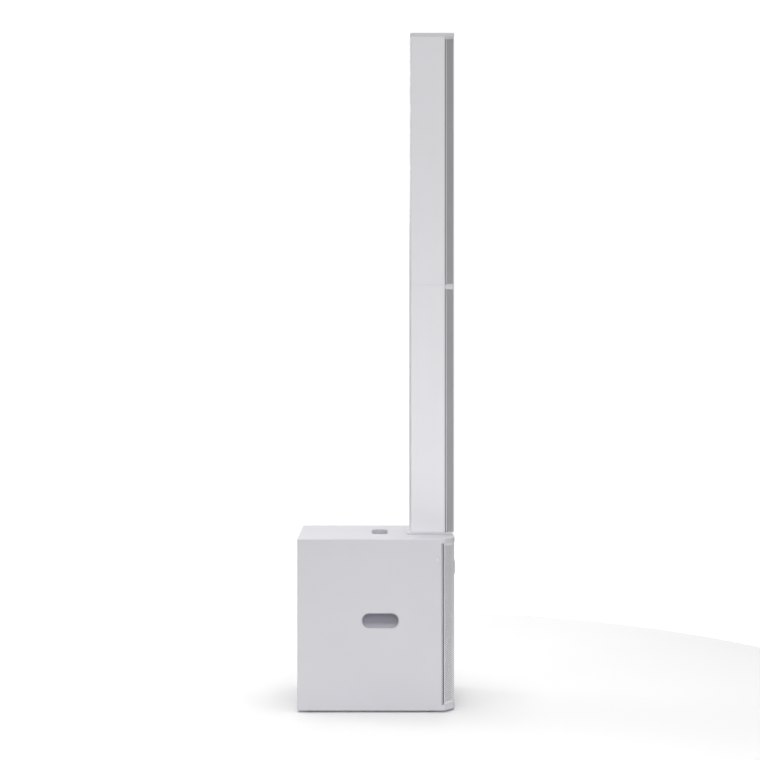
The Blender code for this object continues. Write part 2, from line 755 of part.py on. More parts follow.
def column_grille(name, low, high):
    """A bent grille sheet that wraps the column's front."""
    half_width = COLUMN_WIDTH / 2 - 0.0008
    back = HOUSING_FRONT - GAP
    front = COLUMN_FRONT + COLUMN_GRILLE_INSET
    outer = wrap(half_width, back, front, COLUMN_CORNER)
    inner = wrap(half_width - COLUMN_SHEET, back, front + COLUMN_SHEET, COLUMN_CORNER - COLUMN_SHEET)
    outline = outer + [(-x, y) for x, y in reversed(outer)] + inner_mirror(inner)
    slab(name, outline, high - low, (0, 0, (low + high) / 2), PLAN, "grille_paint")


def cap_outline(half_back, half_front, front, corner):
    """A cap's plan: one width between the housing's walls, another behind or above the grille."""
    inner_corner = arc((half_back - 0.002, COLUMN_REAR - COLUMN_WALL - 0.0025), 0.002, 90, 0, 1)
    half = [*inner_corner, (half_back, HOUSING_FRONT - 2 * GAP)]
    if half_front > half_back:
        half.append((half_front, HOUSING_FRONT - 2 * GAP))
    half += arc((half_front - corner, front + corner), corner, 0, -90, 4)
    return mirrored(half)


def foot_cap(name, base):
    """An element's foot: a plate inside the housing and grille, with two guide pins under it."""
    half_back = COLUMN_WIDTH / 2 - COLUMN_WALL - GAP
    half_front = half_back
    outline = cap_outline(half_back, half_front, INSIDE_GRILLE, 0.003)
    plate = slab(name, outline, 0.006, (0, 0, base + 0.003), PLAN, "black_plastic")
    cut(plate, plug_cutter(f"{name}_opening", PLUG_BODY, base))
    for side in (-1, 1):
        centre = (side * PIN_SPREAD, PLUG_DEPTH, base - PIN_LENGTH / 2 + 0.002)
        pin = drum(f"{name}_pin_{side}", 0.0050, PIN_LENGTH + 0.004, centre, PLAN, segments=16)
        join(plate, pin)


def plug(name, base):
    """The multi-pin plug in an element's foot. Its nose goes down into the socket below."""
    half_x, half_y = PLUG_BODY[0] / 2 - GAP, PLUG_BODY[1] / 2 - GAP
    body = box(
        name,
        (-half_x, PLUG_DEPTH - half_y, base + GAP),
        (half_x, PLUG_DEPTH + half_y, base + 0.0180),
        "black_plastic",
    )
    nose = box(
        f"{name}_nose",
        (-0.0205, PLUG_DEPTH - 0.0075, base - 0.0075),
        (0.0205, PLUG_DEPTH + 0.0075, base + 0.005),
    )
    join(body, nose)


def head_cap(name, top):
    """The lower element's head: flush between the housing's walls, and full width over the grille."""
    half_back = COLUMN_WIDTH / 2 - COLUMN_WALL - GAP
    outline = cap_outline(half_back, COLUMN_WIDTH / 2, COLUMN_FRONT, COLUMN_CORNER)
    plate = slab(name, outline, CAP, (0, 0, top - CAP / 2), PLAN, "moulded_white")
    cut(plate, plug_cutter(f"{name}_opening", SOCKET_BODY, top))
    for side in (-1, 1):
        centre = (side * PIN_SPREAD, PLUG_DEPTH, top)
        cut(plate, drum(f"{name}_pin_hole_{side}", 0.0056, 0.06, centre, segments=16))


def top_cap():
    """The upper element's closed top, over both the housing and the grille."""
    outer = COLUMN_WIDTH / 2
    rear = arc((outer - COLUMN_CORNER, COLUMN_REAR - COLUMN_CORNER), COLUMN_CORNER, 90, 0, 3)
    front = arc((outer - COLUMN_CORNER, COLUMN_FRONT + COLUMN_CORNER), COLUMN_CORNER, 0, -90, 4)
    middle = (0, 0, TOP - CAP / 2)
    lid = slab("upper_top_cap", mirrored(rear + front), CAP, middle, PLAN, "moulded_white")
    bevel_all(lid, 0.0010, 2)
    half_back = COLUMN_WIDTH / 2 - COLUMN_WALL - GAP
    skirt_outline = cap_outline(half_back, half_back, INSIDE_GRILLE, 0.003)
    skirt = slab("top_cap_skirt", skirt_outline, 0.009, (0, 0, TOP - CAP - 0.0035))
    join(lid, skirt)


def column_driver(name, height):
    """A small cone driver as one turned body."""
    profile = [
        (0, -0.0080), (0.0120, -0.0115), (0.0360, -0.0010), (0.0395, 0.0025), (0.0430, 0.0010),
        (0.0460, 0.0035), (DRIVER_RADIUS, 0.0035), (DRIVER_RADIUS, GAP), (0.0450, GAP),
        (0.0300, -0.0280), (0.0330, -0.0280), (0.0330, -0.0440), (0, -0.0440),
    ]
    turned(name, profile, (0, COLUMN_BAFFLE_FRONT, height), "cone_paper", 16)


def column_baffle(name, low, high, driver_heights):
    """The board that carries an element's drivers."""
    half_width = COLUMN_WIDTH / 2 - COLUMN_WALL - GAP
    middle_y = COLUMN_BAFFLE_FRONT + COLUMN_BAFFLE_THICK / 2
    outline = rounded_rectangle(2 * half_width, high - low, 0.001, 1)
    middle = (0, middle_y, (low + high) / 2)
    made = slab(name, outline, COLUMN_BAFFLE_THICK, middle, FACE, "board")
    for index, height in enumerate(driver_heights):
        centre = (0, middle_y, height)
        cut(made, drum(f"{name}_hole_{index}", 0.0465, 0.03, centre, ALONG_Y, segments=16))
    return made


def waveguide():
    """The high-frequency waveguide: a flanged block with a flared mouth and a driver behind."""
    y = COLUMN_BAFFLE_FRONT
    z = WAVEGUIDE_HEIGHT
    outline = rounded_rectangle(0.104, 0.150, 0.006, 2)
    flange = slab("waveguide", outline, 0.004, (0, y - 0.002 - GAP, z), FACE, "black_plastic")
    throat = box("waveguide_body", (-0.044, y - 0.002, z - 0.064), (0.044, y + 0.034, z + 0.064))
    unit = drum("compression_driver", 0.034, 0.036, (0, y + 0.050, z), ALONG_Y)
    join(flange, throat, unit)
    flare = Matrix.Rotation(math.pi / 2, 4, "X") @ Matrix.Rotation(math.pi / 4, 4, "Z")
    mouth = drum("waveguide_mouth", 0.012, 0.042, (0, y + 0.0140, z), flare, segments=4, tip=0.056)
    mouth.scale = (1.0, 1.0, 1.45)
    cut(flange, mouth)


def column():
    """Both column elements."""
    lower_base = DOCK_TOP + GAP
    upper_base = JOINT + GAP
    lower = housing("lower_housing", lower_base, JOINT)
    notch = box(
        "joint_notch",
        (-0.015, COLUMN_REAR - 0.01, JOINT - 0.010),
        (0.015, COLUMN_REAR + 0.01, JOINT + 0.01),
    )
    cut(lower, notch)
    housing("upper_housing", upper_base, TOP - CAP - GAP)
    column_grille("lower_grille", lower_base, JOINT - CAP - GAP)
    column_grille("upper_grille", upper_base, TOP - CAP - GAP)
    foot_cap("lower_foot_cap", lower_base)
    foot_cap("upper_foot_cap", upper_base)
    plug("lower_plug", lower_base)
    plug("upper_plug", upper_base)
    head_cap("lower_head_cap", JOINT)
    socket("lower_socket", JOINT)
    top_cap()
    margin = 0.008
    column_baffle("lower_baffle", lower_base + margin, JOINT - CAP - margin, LOWER_DRIVERS)
    upper_low, upper_high = upper_base + margin, TOP - CAP - margin - 0.002
    upper = column_baffle("upper_baffle", upper_low, upper_high, UPPER_DRIVERS)
    waveguide_hole = box(
        "waveguide_hole",
        (-0.0445, COLUMN_BAFFLE_FRONT - 0.02, WAVEGUIDE_HEIGHT - 0.0645),
        (0.0445, COLUMN_BAFFLE_FRONT + 0.02, WAVEGUIDE_HEIGHT + 0.0645),
    )
    cut(upper, waveguide_hole)
    for index, height in enumerate(LOWER_DRIVERS, 1):
        column_driver(f"lower_driver_{index}", height)
    for index, height in enumerate(UPPER_DRIVERS, 1):
        column_driver(f"upper_driver_{index}", height)
    waveguide()


clear_scene()
PARTS = collection("column_pa_system")
CUTTERS = collection("cutters")
cabinet()
side_plugs()
hand_holds()
sub_grille()
front_baffle()
woofer()
ports()
brace()
feet()
dock()
amplifier()
heat_sink()
board()
transformer()
for socket_name, socket_x in SOCKET_PLACES.items():
    panel_socket(socket_name, socket_x)
mains_inlet()
rocker_frame()
power_rocker()
knobs()
panel_small_parts()
column()
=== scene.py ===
"""Looks of the column loudspeaker: its visible pieces, materials, light and camera.

Metres, +Z up, the front faces -Y. Every piece but the woofer surround's sectors rides on the body of the CAD
part that it dresses.
"""

import json
import math

import bmesh
import bpy
import numpy as np
from mathutils import Matrix, Vector
from mathutils.geometry import delaunay_2d_cdt


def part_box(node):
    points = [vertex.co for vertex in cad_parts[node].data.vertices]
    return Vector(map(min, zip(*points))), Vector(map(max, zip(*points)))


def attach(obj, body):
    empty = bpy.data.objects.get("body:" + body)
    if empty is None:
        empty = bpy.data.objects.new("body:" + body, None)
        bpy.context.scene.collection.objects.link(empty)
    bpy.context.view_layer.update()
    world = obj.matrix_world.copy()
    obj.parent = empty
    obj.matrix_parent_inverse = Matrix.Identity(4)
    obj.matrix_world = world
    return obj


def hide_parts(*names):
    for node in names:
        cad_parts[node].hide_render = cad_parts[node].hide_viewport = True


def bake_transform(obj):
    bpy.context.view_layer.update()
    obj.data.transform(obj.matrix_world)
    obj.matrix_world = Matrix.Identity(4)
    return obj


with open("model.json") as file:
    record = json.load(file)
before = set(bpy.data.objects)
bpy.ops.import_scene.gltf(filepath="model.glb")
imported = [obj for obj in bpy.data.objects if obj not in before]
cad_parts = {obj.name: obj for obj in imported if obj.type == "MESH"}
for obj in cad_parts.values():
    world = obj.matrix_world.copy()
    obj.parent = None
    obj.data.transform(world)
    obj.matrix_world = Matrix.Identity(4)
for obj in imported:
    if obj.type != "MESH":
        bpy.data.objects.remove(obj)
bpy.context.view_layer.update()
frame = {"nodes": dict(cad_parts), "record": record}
NODES = frame["nodes"]
BODIES = frame["record"]["behaviour"]["bodies"]
BODY_OF = {node: body for body, members in BODIES.items() for node in members}
SLOT_OF = {part["node"]: part["material_slot"] for part in frame["record"]["subparts"]}

# ---- Dimensions that the CAD boxes don't give ----

GAP = 0.0003
CORNER_SETBACK = 0.031  # from the lips' front to where their sides start to slant
CORNER_SLANT = math.radians(42)
CORNER_RADIUS = 0.045
TOP_EDGE_RADIUS = 0.012
SMALL_EDGE_RADIUS = 0.0024
BOTTOM_EDGE_RADIUS = 0.0006
GRILLE_INSET = 0.0015
SHEET = 0.0015
COLUMN_SHEET = 0.0012
COLUMN_WALL = 0.003
COLUMN_CORNER = 0.005
COLUMN_SEAM = 0.0026  # the dark line between a housing and its sheet
SUB_HOLE_RADIUS = 0.0021
COLUMN_HOLE_RADIUS = 0.0025
SUB_PITCH = (0.00485, 0.00645)
COLUMN_PITCH = (0.00465, 0.00676)
CLOTH = 0.0008

CABINET_LOW, CABINET_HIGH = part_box("cabinet")
HALF_WIDTH = CABINET_HIGH.x
LIP_FRONT = CABINET_LOW.y
BACK = CABINET_HIGH.y
SUB_TOP = CABINET_HIGH.z
PANEL_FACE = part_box("amp_panel")[1].y
HOUSING_LOW, HOUSING_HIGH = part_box("lower_housing")
COLUMN_HALF = HOUSING_HIGH.x
COLUMN_REAR = HOUSING_HIGH.y
HOUSING_FRONT = HOUSING_LOW.y
COLUMN_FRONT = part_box("lower_head_cap")[0].y
PLUG_LOW, PLUG_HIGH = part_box("lower_plug")
PLUG_MIDDLE = (PLUG_LOW.y + PLUG_HIGH.y) / 2
PIN_SPREAD = 0.040
CABINET_WALL = 0.015
HOLD_EASE = 0.0018  # how far a hand hold's mouth rounds outward
AMP_OPENING = (0.224, 0.364)
CUP_WALL = 0.002
ROUND_END = 0.0005  # how far an oblong's end radius stays under half its height
SOCKET_DEPTH = 0.0087  # from a column socket's top to its contacts
CONTACT_PITCH = 0.0098
SIGNAL_SOCKETS = ("input_socket_1", "input_socket_2", "line_out_socket")
FLANGE = 0.0023  # the sockets' flanges above the panel's face
GROUP_LINES = (0.3735, 0.3150, 0.1440)  # heights of the panel's printed lines
DIAL_STEPS = 10
DIAL_SWEEP = 150
TICK_RADIUS = 0.0112
NUMERAL_RADIUS = 0.0146
PRINT = 0.00006  # thickness of the panel's print
BOLTS = 8
BOLT_CIRCLE = 0.1425
CONE_THROAT = (0.0352, -0.0400)  # radius, height above the baffle
CONE_STEPS = 29
ROLL_SECTORS = 16
ROLL_MIDDLE = 0.1295
ROLL_SIZE = (0.0066, 0.0060)  # half its width, and its height

# CAD nodes that only need their edges rounded, by the edges' radius.
EASED = {
    0.0002: ["power_rocker"],
    0.0003: ["lower_foot_cap", "upper_foot_cap", "lower_plug", "upper_plug", "lower_socket", "dock_socket"]
    + [*SIGNAL_SOCKETS, "mains_inlet", "amp_panel", "woofer_dust_cap"],
    0.0004: ["lower_head_cap", "rocker_frame", "heat_sink", "woofer_basket"],
}

FLOOR_RADIUS = 1.6
SURROUND_LIGHT = 0.08
CAMERA_PLACE = (-4.385, 0.003, 0.99)
CAMERA_LENS = 68.32
CAMERA_SHIFT = (0.0053, -0.0096)

# Each frame takes (across, along, outward) to the scene's axes.
PLAN = Matrix.Identity(4)
RIGHT = Matrix(((0, 0, 1, 0), (1, 0, 0, 0), (0, 1, 0, 0), (0, 0, 0, 1)))
LEFT = Matrix(((0, 0, -1, 0), (-1, 0, 0, 0), (0, 1, 0, 0), (0, 0, 0, 1)))
FRONT = Matrix(((1, 0, 0, 0), (0, 0, -1, 0), (0, 1, 0, 0), (0, 0, 0, 1)))
REAR = Matrix(((-1, 0, 0, 0), (0, 0, 1, 0), (0, 1, 0, 0), (0, 0, 0, 1)))
DOWN = Matrix.Rotation(math.pi, 4, "X")


# ---- Materials ----


class Look:
    """A material under construction, with short calls for its nodes."""

    def __init__(self, name):
        self.material = bpy.data.materials.new(name)
        self.material.use_nodes = True
        self.tree = self.material.node_tree
        self.shader = self.tree.nodes["Principled BSDF"]
        self.place = self.node("TexCoord").outputs["Object"]

    def node(self, kind, inputs=None, **settings):
        """Adds a node. Inputs are values or the outputs of other nodes."""
        made = self.tree.nodes.new("ShaderNode" + kind)
        for key, value in settings.items():
            setattr(made, key, value)
        for key, value in (inputs or {}).items():
            self.join(value, made.inputs[key])
        return made

    def join(self, value, socket):
        """Feeds a socket from a value or from a node's output."""
        if isinstance(value, bpy.types.NodeSocket):
            self.tree.links.new(value, socket)
        else:
            socket.default_value = value

    def set(self, **inputs):
        """Feeds the shader's inputs, named with underscores for spaces."""
        for key, value in inputs.items():
            value = (*value, 1.0) if isinstance(value, tuple) else value
            self.join(value, self.shader.inputs[key.replace("_", " ")])

    def noise(self, scale, detail=3.0, roughness=0.5, stretch=None):
        """Noise from 0 to 1. Stretch multiplies the scale along each axis."""
        source = self.place
        if stretch is not None:
            source = self.node("Mapping", {"Vector": source, "Scale": stretch}).outputs[0]
        inputs = {"Vector": source, "Scale": scale, "Detail": detail, "Roughness": roughness}
        return self.node("TexNoise", inputs).outputs["Fac"]

    def cells(self, scale, feature="F1"):
        """Distance field of scattered cells."""
        made = self.node("TexVoronoi", {"Vector": self.place, "Scale": scale}, feature=feature)
        return made.outputs["Distance"]

    def waves(self, scale, direction, distortion):
        """Bands across one axis."""
        inputs = {"Vector": self.place, "Scale": scale, "Distortion": distortion}
        return self.node("TexWave", inputs, wave_type="BANDS", bands_direction=direction).outputs["Fac"]

    def remap(self, value, low, high, to_low=0.0, to_high=1.0):
        """A value's range taken to another, held at its ends."""
        inputs = {"Value": value, "From Min": low, "From Max": high, "To Min": to_low, "To Max": to_high}
        return self.node("MapRange", inputs).outputs["Result"]

    def math(self, operation, a, b=0.0):
        """One arithmetic step."""
        made = self.node("Math", operation=operation)
        self.join(a, made.inputs[0])
        self.join(b, made.inputs[1])
        return made.outputs[0]

    def mix(self, share, a, b):
        """A colour between two others."""
        made = self.node("Mix", data_type="RGBA")
        self.join(share, made.inputs["Factor"])
        for value, socket in ((a, made.inputs[6]), (b, made.inputs[7])):
            self.join((*value, 1.0) if isinstance(value, tuple) else value, socket)
        return made.outputs[2]

    def bump(self, height, distance, after=None):
        """A bump in metres, on top of an earlier one if given."""
        inputs = {"Height": height, "Distance": distance}
        if after is not None:
            inputs["Normal"] = after
        return self.node("Bump", inputs).outputs[0]


def shade(colour, factor):
    """A colour made lighter or darker."""
    return tuple(min(1.0, part * factor) for part in colour)


def coat(name, colour, roughness, grain, height, mottle, pebble=0.0, metallic=0.0):
    """Paint or moulded plastic: fine grain, slow changes of tone, and a few dark specks of dust."""
    look = Look(name)
    slow = look.remap(look.noise(5.0, 4.0), 0.30, 0.70)
    medium = look.noise(60.0, 3.0)
    fine = look.noise(grain, 4.0, 0.6)
    tone = look.mix(slow, shade(colour, 1 - mottle), shade(colour, 1 + mottle))
    specks = look.remap(look.noise(grain * 1.7, 1.0), 0.62, 0.70)
    tone = look.mix(look.math("MULTIPLY", specks, 0.35), tone, shade(colour, 0.86))
    normal = look.bump(fine, height)
    if pebble:
        normal = look.bump(look.cells(grain * 0.8, "SMOOTH_F1"), pebble, after=normal)
    look.set(
        Base_Color=tone,
        Roughness=look.remap(medium, 0.3, 0.7, roughness - 0.05, roughness + 0.06),
        Metallic=metallic,
        Normal=normal,
    )
    return look.material


def plywood(name):
    """Raw birch plywood: grain on the face, and plies on the edge."""
    look = Look(name)
    grain = look.noise(9.0, 6.0, 0.65, stretch=(1.0, 22.0, 9.0))
    face = look.mix(look.remap(grain, 0.3, 0.7), (0.40, 0.28, 0.16), (0.62, 0.49, 0.33))
    plies = look.remap(look.waves(115.0, "Y", 0.6), 0.35, 0.65)
    face = look.mix(look.math("MULTIPLY", plies, 0.28), face, (0.28, 0.17, 0.09))
    roughness = look.remap(grain, 0.2, 0.8, 0.62, 0.82)
    look.set(Base_Color=face, Roughness=roughness, Normal=look.bump(grain, 0.0002))
    return look.material


def rubber(name):
    """Matt black rubber with a dusty bloom."""
    look = Look(name)
    bloom = look.remap(look.noise(35.0, 5.0), 0.40, 0.75)
    tone = look.mix(bloom, (0.012, 0.012, 0.013), (0.040, 0.039, 0.038))
    roughness = look.remap(bloom, 0, 1, 0.62, 0.85)
    look.set(Base_Color=tone, Roughness=roughness, Normal=look.bump(look.noise(1500.0), 0.00006))
    return look.material


def pressed_paper(name):
    """Black pressed paper with short fibres."""
    look = Look(name)
    fibres = look.noise(420.0, 6.0, 0.8)
    clumps = look.cells(160.0)
    tone = look.mix(look.remap(fibres, 0.35, 0.75), (0.018, 0.018, 0.020), (0.075, 0.073, 0.072))
    normal = look.bump(clumps, 0.00015, after=look.bump(fibres, 0.0002))
    look.set(Base_Color=tone, Roughness=look.remap(fibres, 0.2, 0.8, 0.65, 0.9), Normal=normal)
    return look.material


def turned_metal(name, colour, roughness, stretch):
    """Metal with a directional finish."""
    look = Look(name)
    lines = look.noise(30.0, 5.0, 0.7, stretch=stretch)
    tarnish = look.remap(look.noise(25.0, 4.0), 0.45, 0.7)
    tone = look.mix(look.remap(lines, 0.3, 0.7), shade(colour, 0.82), shade(colour, 1.12))
    tone = look.mix(look.math("MULTIPLY", tarnish, 0.3), tone, shade(colour, 0.6))
    look.set(
        Base_Color=tone,
        Metallic=1.0,
        Roughness=look.remap(lines, 0.25, 0.75, roughness - 0.08, roughness + 0.12),
        Normal=look.bump(lines, 0.00004),
    )
    return look.material


def circuit(name):
    """Green solder mask over copper tracks."""
    look = Look(name)
    cells = look.node("TexBrick", {
        "Vector": look.node("Mapping", {"Vector": look.place, "Rotation": (math.pi / 2, 0, 0)}).outputs[0],
        "Scale": 90.0, "Mortar Size": 0.10, "Mortar Smooth": 0.2, "Bias": 0.0,
    })
    tracks = cells.outputs["Fac"]
    tone = look.mix(tracks, (0.015, 0.11, 0.045), (0.05, 0.26, 0.10))
    blotch = look.remap(look.noise(120.0, 2.0), 0.60, 0.64)
    tone = look.mix(blotch, tone, (0.010, 0.08, 0.03))
    look.set(Base_Color=tone, Roughness=look.remap(look.noise(50.0), 0.3, 0.7, 0.30, 0.45),
             Normal=look.bump(tracks, 0.0001), Coat_Weight=0.3)
    return look.material


def windings(name):
    """Enamelled copper wire, wound close."""
    look = Look(name)
    turns = look.waves(260.0, "DIAGONAL", 1.2)
    tone = look.mix(turns, (0.24, 0.07, 0.025), (0.75, 0.33, 0.14))
    look.set(Base_Color=tone, Metallic=0.85, Roughness=look.remap(look.noise(200.0), 0.3, 0.7, 0.22, 0.40),
             Normal=look.bump(turns, 0.0004))
    return look.material


def lens(name, colour, glow):
    """A clear coloured lens with fine frosting, lit from behind."""
    look = Look(name)
    frost = look.noise(900.0, 3.0)
    tone = look.mix(look.remap(frost, 0.3, 0.7), shade(colour, 0.8), shade(colour, 1.2))
    look.set(Base_Color=tone, Roughness=look.remap(frost, 0.3, 0.7, 0.08, 0.2), Transmission_Weight=0.4,
             Emission_Color=tone, Emission_Strength=glow, Normal=look.bump(frost, 0.00002), Coat_Weight=0.8)
    return look.material


def woven(name, dark, light):
    """Acoustic cloth: a fine over-and-under weave with loose fibres."""
    look = Look(name)
    warp = look.waves(520.0, "X", 0.5)
    weft = look.waves(520.0, "Z", 0.5)
    weave = look.math("MULTIPLY", warp, weft)
    fuzz = look.noise(700.0, 5.0, 0.7)
    tone = look.mix(look.remap(weave, 0.1, 0.8), dark, light)
    tone = look.mix(look.math("MULTIPLY", fuzz, 0.3), tone, shade(light, 1.1))
    look.set(Base_Color=tone, Roughness=look.remap(fuzz, 0.2, 0.8, 0.80, 0.98), Sheen_Weight=0.2,
             Normal=look.bump(weave, 0.0003, after=look.bump(fuzz, 0.0001)))
    return look.material


# Each coat: colour, roughness, grain, height of the grain, mottling, then pebbling and metal.
RECIPES = {
    "cabinet_paint": (coat, (0.620, 0.612, 0.648), 0.52, 850.0, 0.00012, 0.010, 0.00006),
    "grille_paint": (coat, (0.74, 0.731, 0.763), 0.42, 1400.0, 0.00004, 0.010),
    "column_paint": (coat, (0.810, 0.800, 0.834), 0.42, 1300.0, 0.00005, 0.008),
    "moulded_white": (coat, (0.70, 0.693, 0.727), 0.48, 1100.0, 0.00006, 0.012),
    # The cup colours are lit and shaded copies of one moulding: the grey is darkened as painted shade inside
    # the side cups, and the lighter copy is painted light for the top cup, whose inside falls in shade.
    "hold_light": (coat, (0.66, 0.65, 0.70), 0.60, 900.0, 0.00010, 0.03, 0.00005),
    "hold_grey": (coat, (0.41, 0.40, 0.455), 0.60, 900.0, 0.00010, 0.03, 0.00005),
    "board": (plywood,),
    "black_plastic": (coat, (0.022, 0.022, 0.024), 0.42, 1200.0, 0.00006, 0.15),
    "panel_paint": (coat, (0.030, 0.030, 0.033), 0.50, 900.0, 0.00012, 0.15, 0.00008),
    "rubber": (rubber,),
    "cone_paper": (pressed_paper,),
    "basket_metal": (coat, (0.030, 0.030, 0.032), 0.40, 700.0, 0.00010, 0.10, 0.0, 0.3),
    "magnet_metal": (turned_metal, (0.46, 0.46, 0.47), 0.32, (1.0, 60.0, 60.0)),
    "heat_sink_metal": (turned_metal, (0.055, 0.055, 0.060), 0.42, (40.0, 40.0, 1.0)),
    "circuit_board": (circuit,),
    "copper": (windings,),
    "light_lens": (lens, (0.10, 0.75, 0.25), 1.2),
    "ink": (coat, (0.72, 0.72, 0.72), 0.55, 2500.0, 0.00001, 0.04),
    "screw_black": (turned_metal, (0.05, 0.05, 0.052), 0.35, (20.0, 20.0, 20.0)),
    "screw_white": (coat, (0.74, 0.73, 0.77), 0.40, 1800.0, 0.00003, 0.03),
    "contact": (turned_metal, (0.86, 0.66, 0.30), 0.22, (20.0, 20.0, 20.0)),
    "steel": (turned_metal, (0.62, 0.62, 0.63), 0.28, (20.0, 20.0, 20.0)),
    "cloth_dark": (woven, (0.020, 0.020, 0.022), (0.060, 0.060, 0.065)),
}
LOOKS = {name: make(name, *values) for name, (make, *values) in RECIPES.items()}


# ---- Shapes ----


def arc(centre, radius, start, end, steps):
    """Points of an arc in the plane, from one angle to another in degrees."""
    angles = np.radians(np.linspace(start, end, steps + 1))
    return [(centre[0] + radius * math.cos(a), centre[1] + radius * math.sin(a)) for a in angles]


def rounded_rectangle(width, height, radius, steps=8, centre=(0.0, 0.0)):
    """An outline of a rectangle with round corners."""
    points = []
    for index, (x, y) in enumerate(((1, 1), (-1, 1), (-1, -1), (1, -1))):
        corner = (centre[0] + x * (width / 2 - radius), centre[1] + y * (height / 2 - radius))
        points += arc(corner, radius, 90 * index, 90 * index + 90, steps)
    return [p for i, p in enumerate(points) if math.dist(p, points[i - 1]) > 1e-6]


def circle(radius, steps=32, centre=(0.0, 0.0)):
    """An outline of a circle."""
    return arc(centre, radius, 0, 360, steps)[:-1]


def mirrored(half):
    """A whole outline from its right half, listed from the middle line round to the middle line."""
    return half + [(-x, y) for x, y in reversed(half)]


def placed(shape, turn):
    """The shape, moved by a frame."""
    bmesh.ops.transform(shape, matrix=turn, verts=shape.verts)
    return shape


def loft(rings, turn=PLAN):
    """A closed body through rings of equal length, each a list of points, with flat ends."""
    shape = bmesh.new()
    made = [[shape.verts.new(point) for point in ring] for ring in rings]
    for low, high in zip(made, made[1:]):
        for i in range(len(low)):
            j = (i + 1) % len(low)
            shape.faces.new((low[i], low[j], high[j], high[i]))
    shape.faces.new(list(reversed(made[0])))
    shape.faces.new(made[-1])
    bmesh.ops.recalc_face_normals(shape, faces=shape.faces)
    return placed(shape, turn)


def prism(outline, low, high, turn=PLAN, rim=0.0, steps=2):
    """A flat outline between two heights. Rim rounds the edges of both ends."""
    shape = loft([[(x, y, low) for x, y in outline], [(x, y, high) for x, y in outline]])
    if rim:
        edges = [e for e in shape.edges if abs(e.verts[0].co.z - e.verts[1].co.z) < 1e-7]
        bmesh.ops.bevel(
            shape, geom=edges, offset=rim, segments=steps, profile=0.5, affect="EDGES", clamp_overlap=True
        )
    return placed(shape, turn)


def block(low, high, rim=0.0, steps=2, turn=PLAN):
    """A box between two corners, with rounded edges."""
    shape = bmesh.new()
    bmesh.ops.create_cube(shape, size=1)
    bmesh.ops.scale(shape, vec=[b - a for a, b in zip(low, high)], verts=shape.verts)
    bmesh.ops.translate(shape, vec=[(a + b) / 2 for a, b in zip(low, high)], verts=shape.verts)
    if rim:
        bmesh.ops.bevel(shape, geom=shape.edges[:], offset=rim, segments=steps, profile=0.5, affect="EDGES")
    return placed(shape, turn)


def lathe(profile, steps=48, turn=PLAN, ripple=None):
    """Turns a (radius, height) profile round its axis. Ripple(height, angle) scales the radius."""
    shape = bmesh.new()
    rings = []
    for radius, height in profile:
        count = 1 if radius < 1e-9 else steps
        ring = []
        for step in range(count):
            angle = 2 * math.pi * step / count
            far = radius * (ripple(height, angle) if ripple else 1.0)
            ring.append(shape.verts.new((far * math.cos(angle), far * math.sin(angle), height)))
        rings.append(ring)
    pairs = list(zip(rings, rings[1:]))
    if len(rings[0]) > 1:
        pairs.append((rings[-1], rings[0]))
    for a, b in pairs:
        for i in range(steps):
            j = i + 1
            quad = (a[i % len(a)], a[j % len(a)], b[j % len(b)], b[i % len(b)])
            corners = list(dict.fromkeys(quad))
            if len(corners) > 2:
                shape.faces.new(corners)
    bmesh.ops.recalc_face_normals(shape, faces=shape.faces)
    return placed(shape, turn)


def at(x, y, z, turn=PLAN):
    """A frame moved to a place."""
    return Matrix.Translation((x, y, z)) @ turn


def merged(shapes):
    """Several shapes as one."""
    whole = bmesh.new()
    for shape in shapes:
        mesh = bpy.data.meshes.new("part")
        shape.to_mesh(mesh)
        shape.free()
        whole.from_mesh(mesh)
        bpy.data.meshes.remove(mesh)
    return whole


def loose(name, shape):
    """A shape as an object, not yet part of anything."""
    mesh = bpy.data.meshes.new(name)
    shape.to_mesh(mesh)
    shape.free()
    made = bpy.data.objects.new(name, mesh)
    bpy.context.scene.collection.objects.link(made)
    return made


def baked(piece):
    """The piece's mesh with its modifiers applied, as a shape. The piece is removed."""
    evaluated = piece.evaluated_get(bpy.context.evaluated_depsgraph_get())
    mesh = bpy.data.meshes.new_from_object(evaluated)
    bpy.data.objects.remove(piece)
    shape = bmesh.new()
    shape.from_mesh(mesh)
    bpy.data.meshes.remove(mesh)
    return shape


def carve(shape, cutters):
    """Cuts other shapes from a shape."""
    target = loose("target", shape)
    tools = [loose("tool", cutter) for cutter in cutters]
    for tool in tools:
        step = target.modifiers.new("step", "BOOLEAN")
        step.operation = "DIFFERENCE"
        step.object = tool
        step.solver = "EXACT"
    result = baked(target)
    for tool in tools:
        bpy.data.objects.remove(tool)
    bmesh.ops.remove_doubles(result, verts=result.verts, dist=1e-6)
    bmesh.ops.dissolve_limit(result, angle_limit=math.radians(0.2), verts=result.verts, edges=result.edges)
    return result


def eased(shape, width, angle=40):
    """Rounds a shape's sharp edges a little."""
    piece = loose("eased", shape)
    bevel = piece.modifiers.new("edges", "BEVEL")
    bevel.limit_method = "ANGLE"
    bevel.angle_limit = math.radians(angle)
    bevel.width = width
    bevel.segments = 2
    bevel.miter_outer = "MITER_ARC"
    return baked(piece)


def add(name, shape, look, body, stands_for=(), angle=35, even=True):
    """Makes a visible piece that rides on a body and may stand for CAD nodes."""
    made = loose(name, shape)
    made.data.materials.append(LOOKS[look])
    made.data.shade_smooth()
    made.data.set_sharp_from_angle(angle=math.radians(angle))
    if even:
        weighted = made.modifiers.new("even_shading", "WEIGHTED_NORMAL")
        weighted.keep_sharp = True
        weighted.weight = 90
    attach(made, body)
    if stands_for:
        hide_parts(*stands_for)
    return made


def dress(node, shape, look=None, angle=35):
    """A visible shape in place of a CAD node, with the node's body, slot and look."""
    slot = SLOT_OF[node]
    return add(f"{node}_look", shape, look or slot, BODY_OF[node], [node], angle)


def hardware(name, shapes, look, body="subwoofer"):
    """Small metal pieces as one."""
    add(name, merged(shapes), look, body)


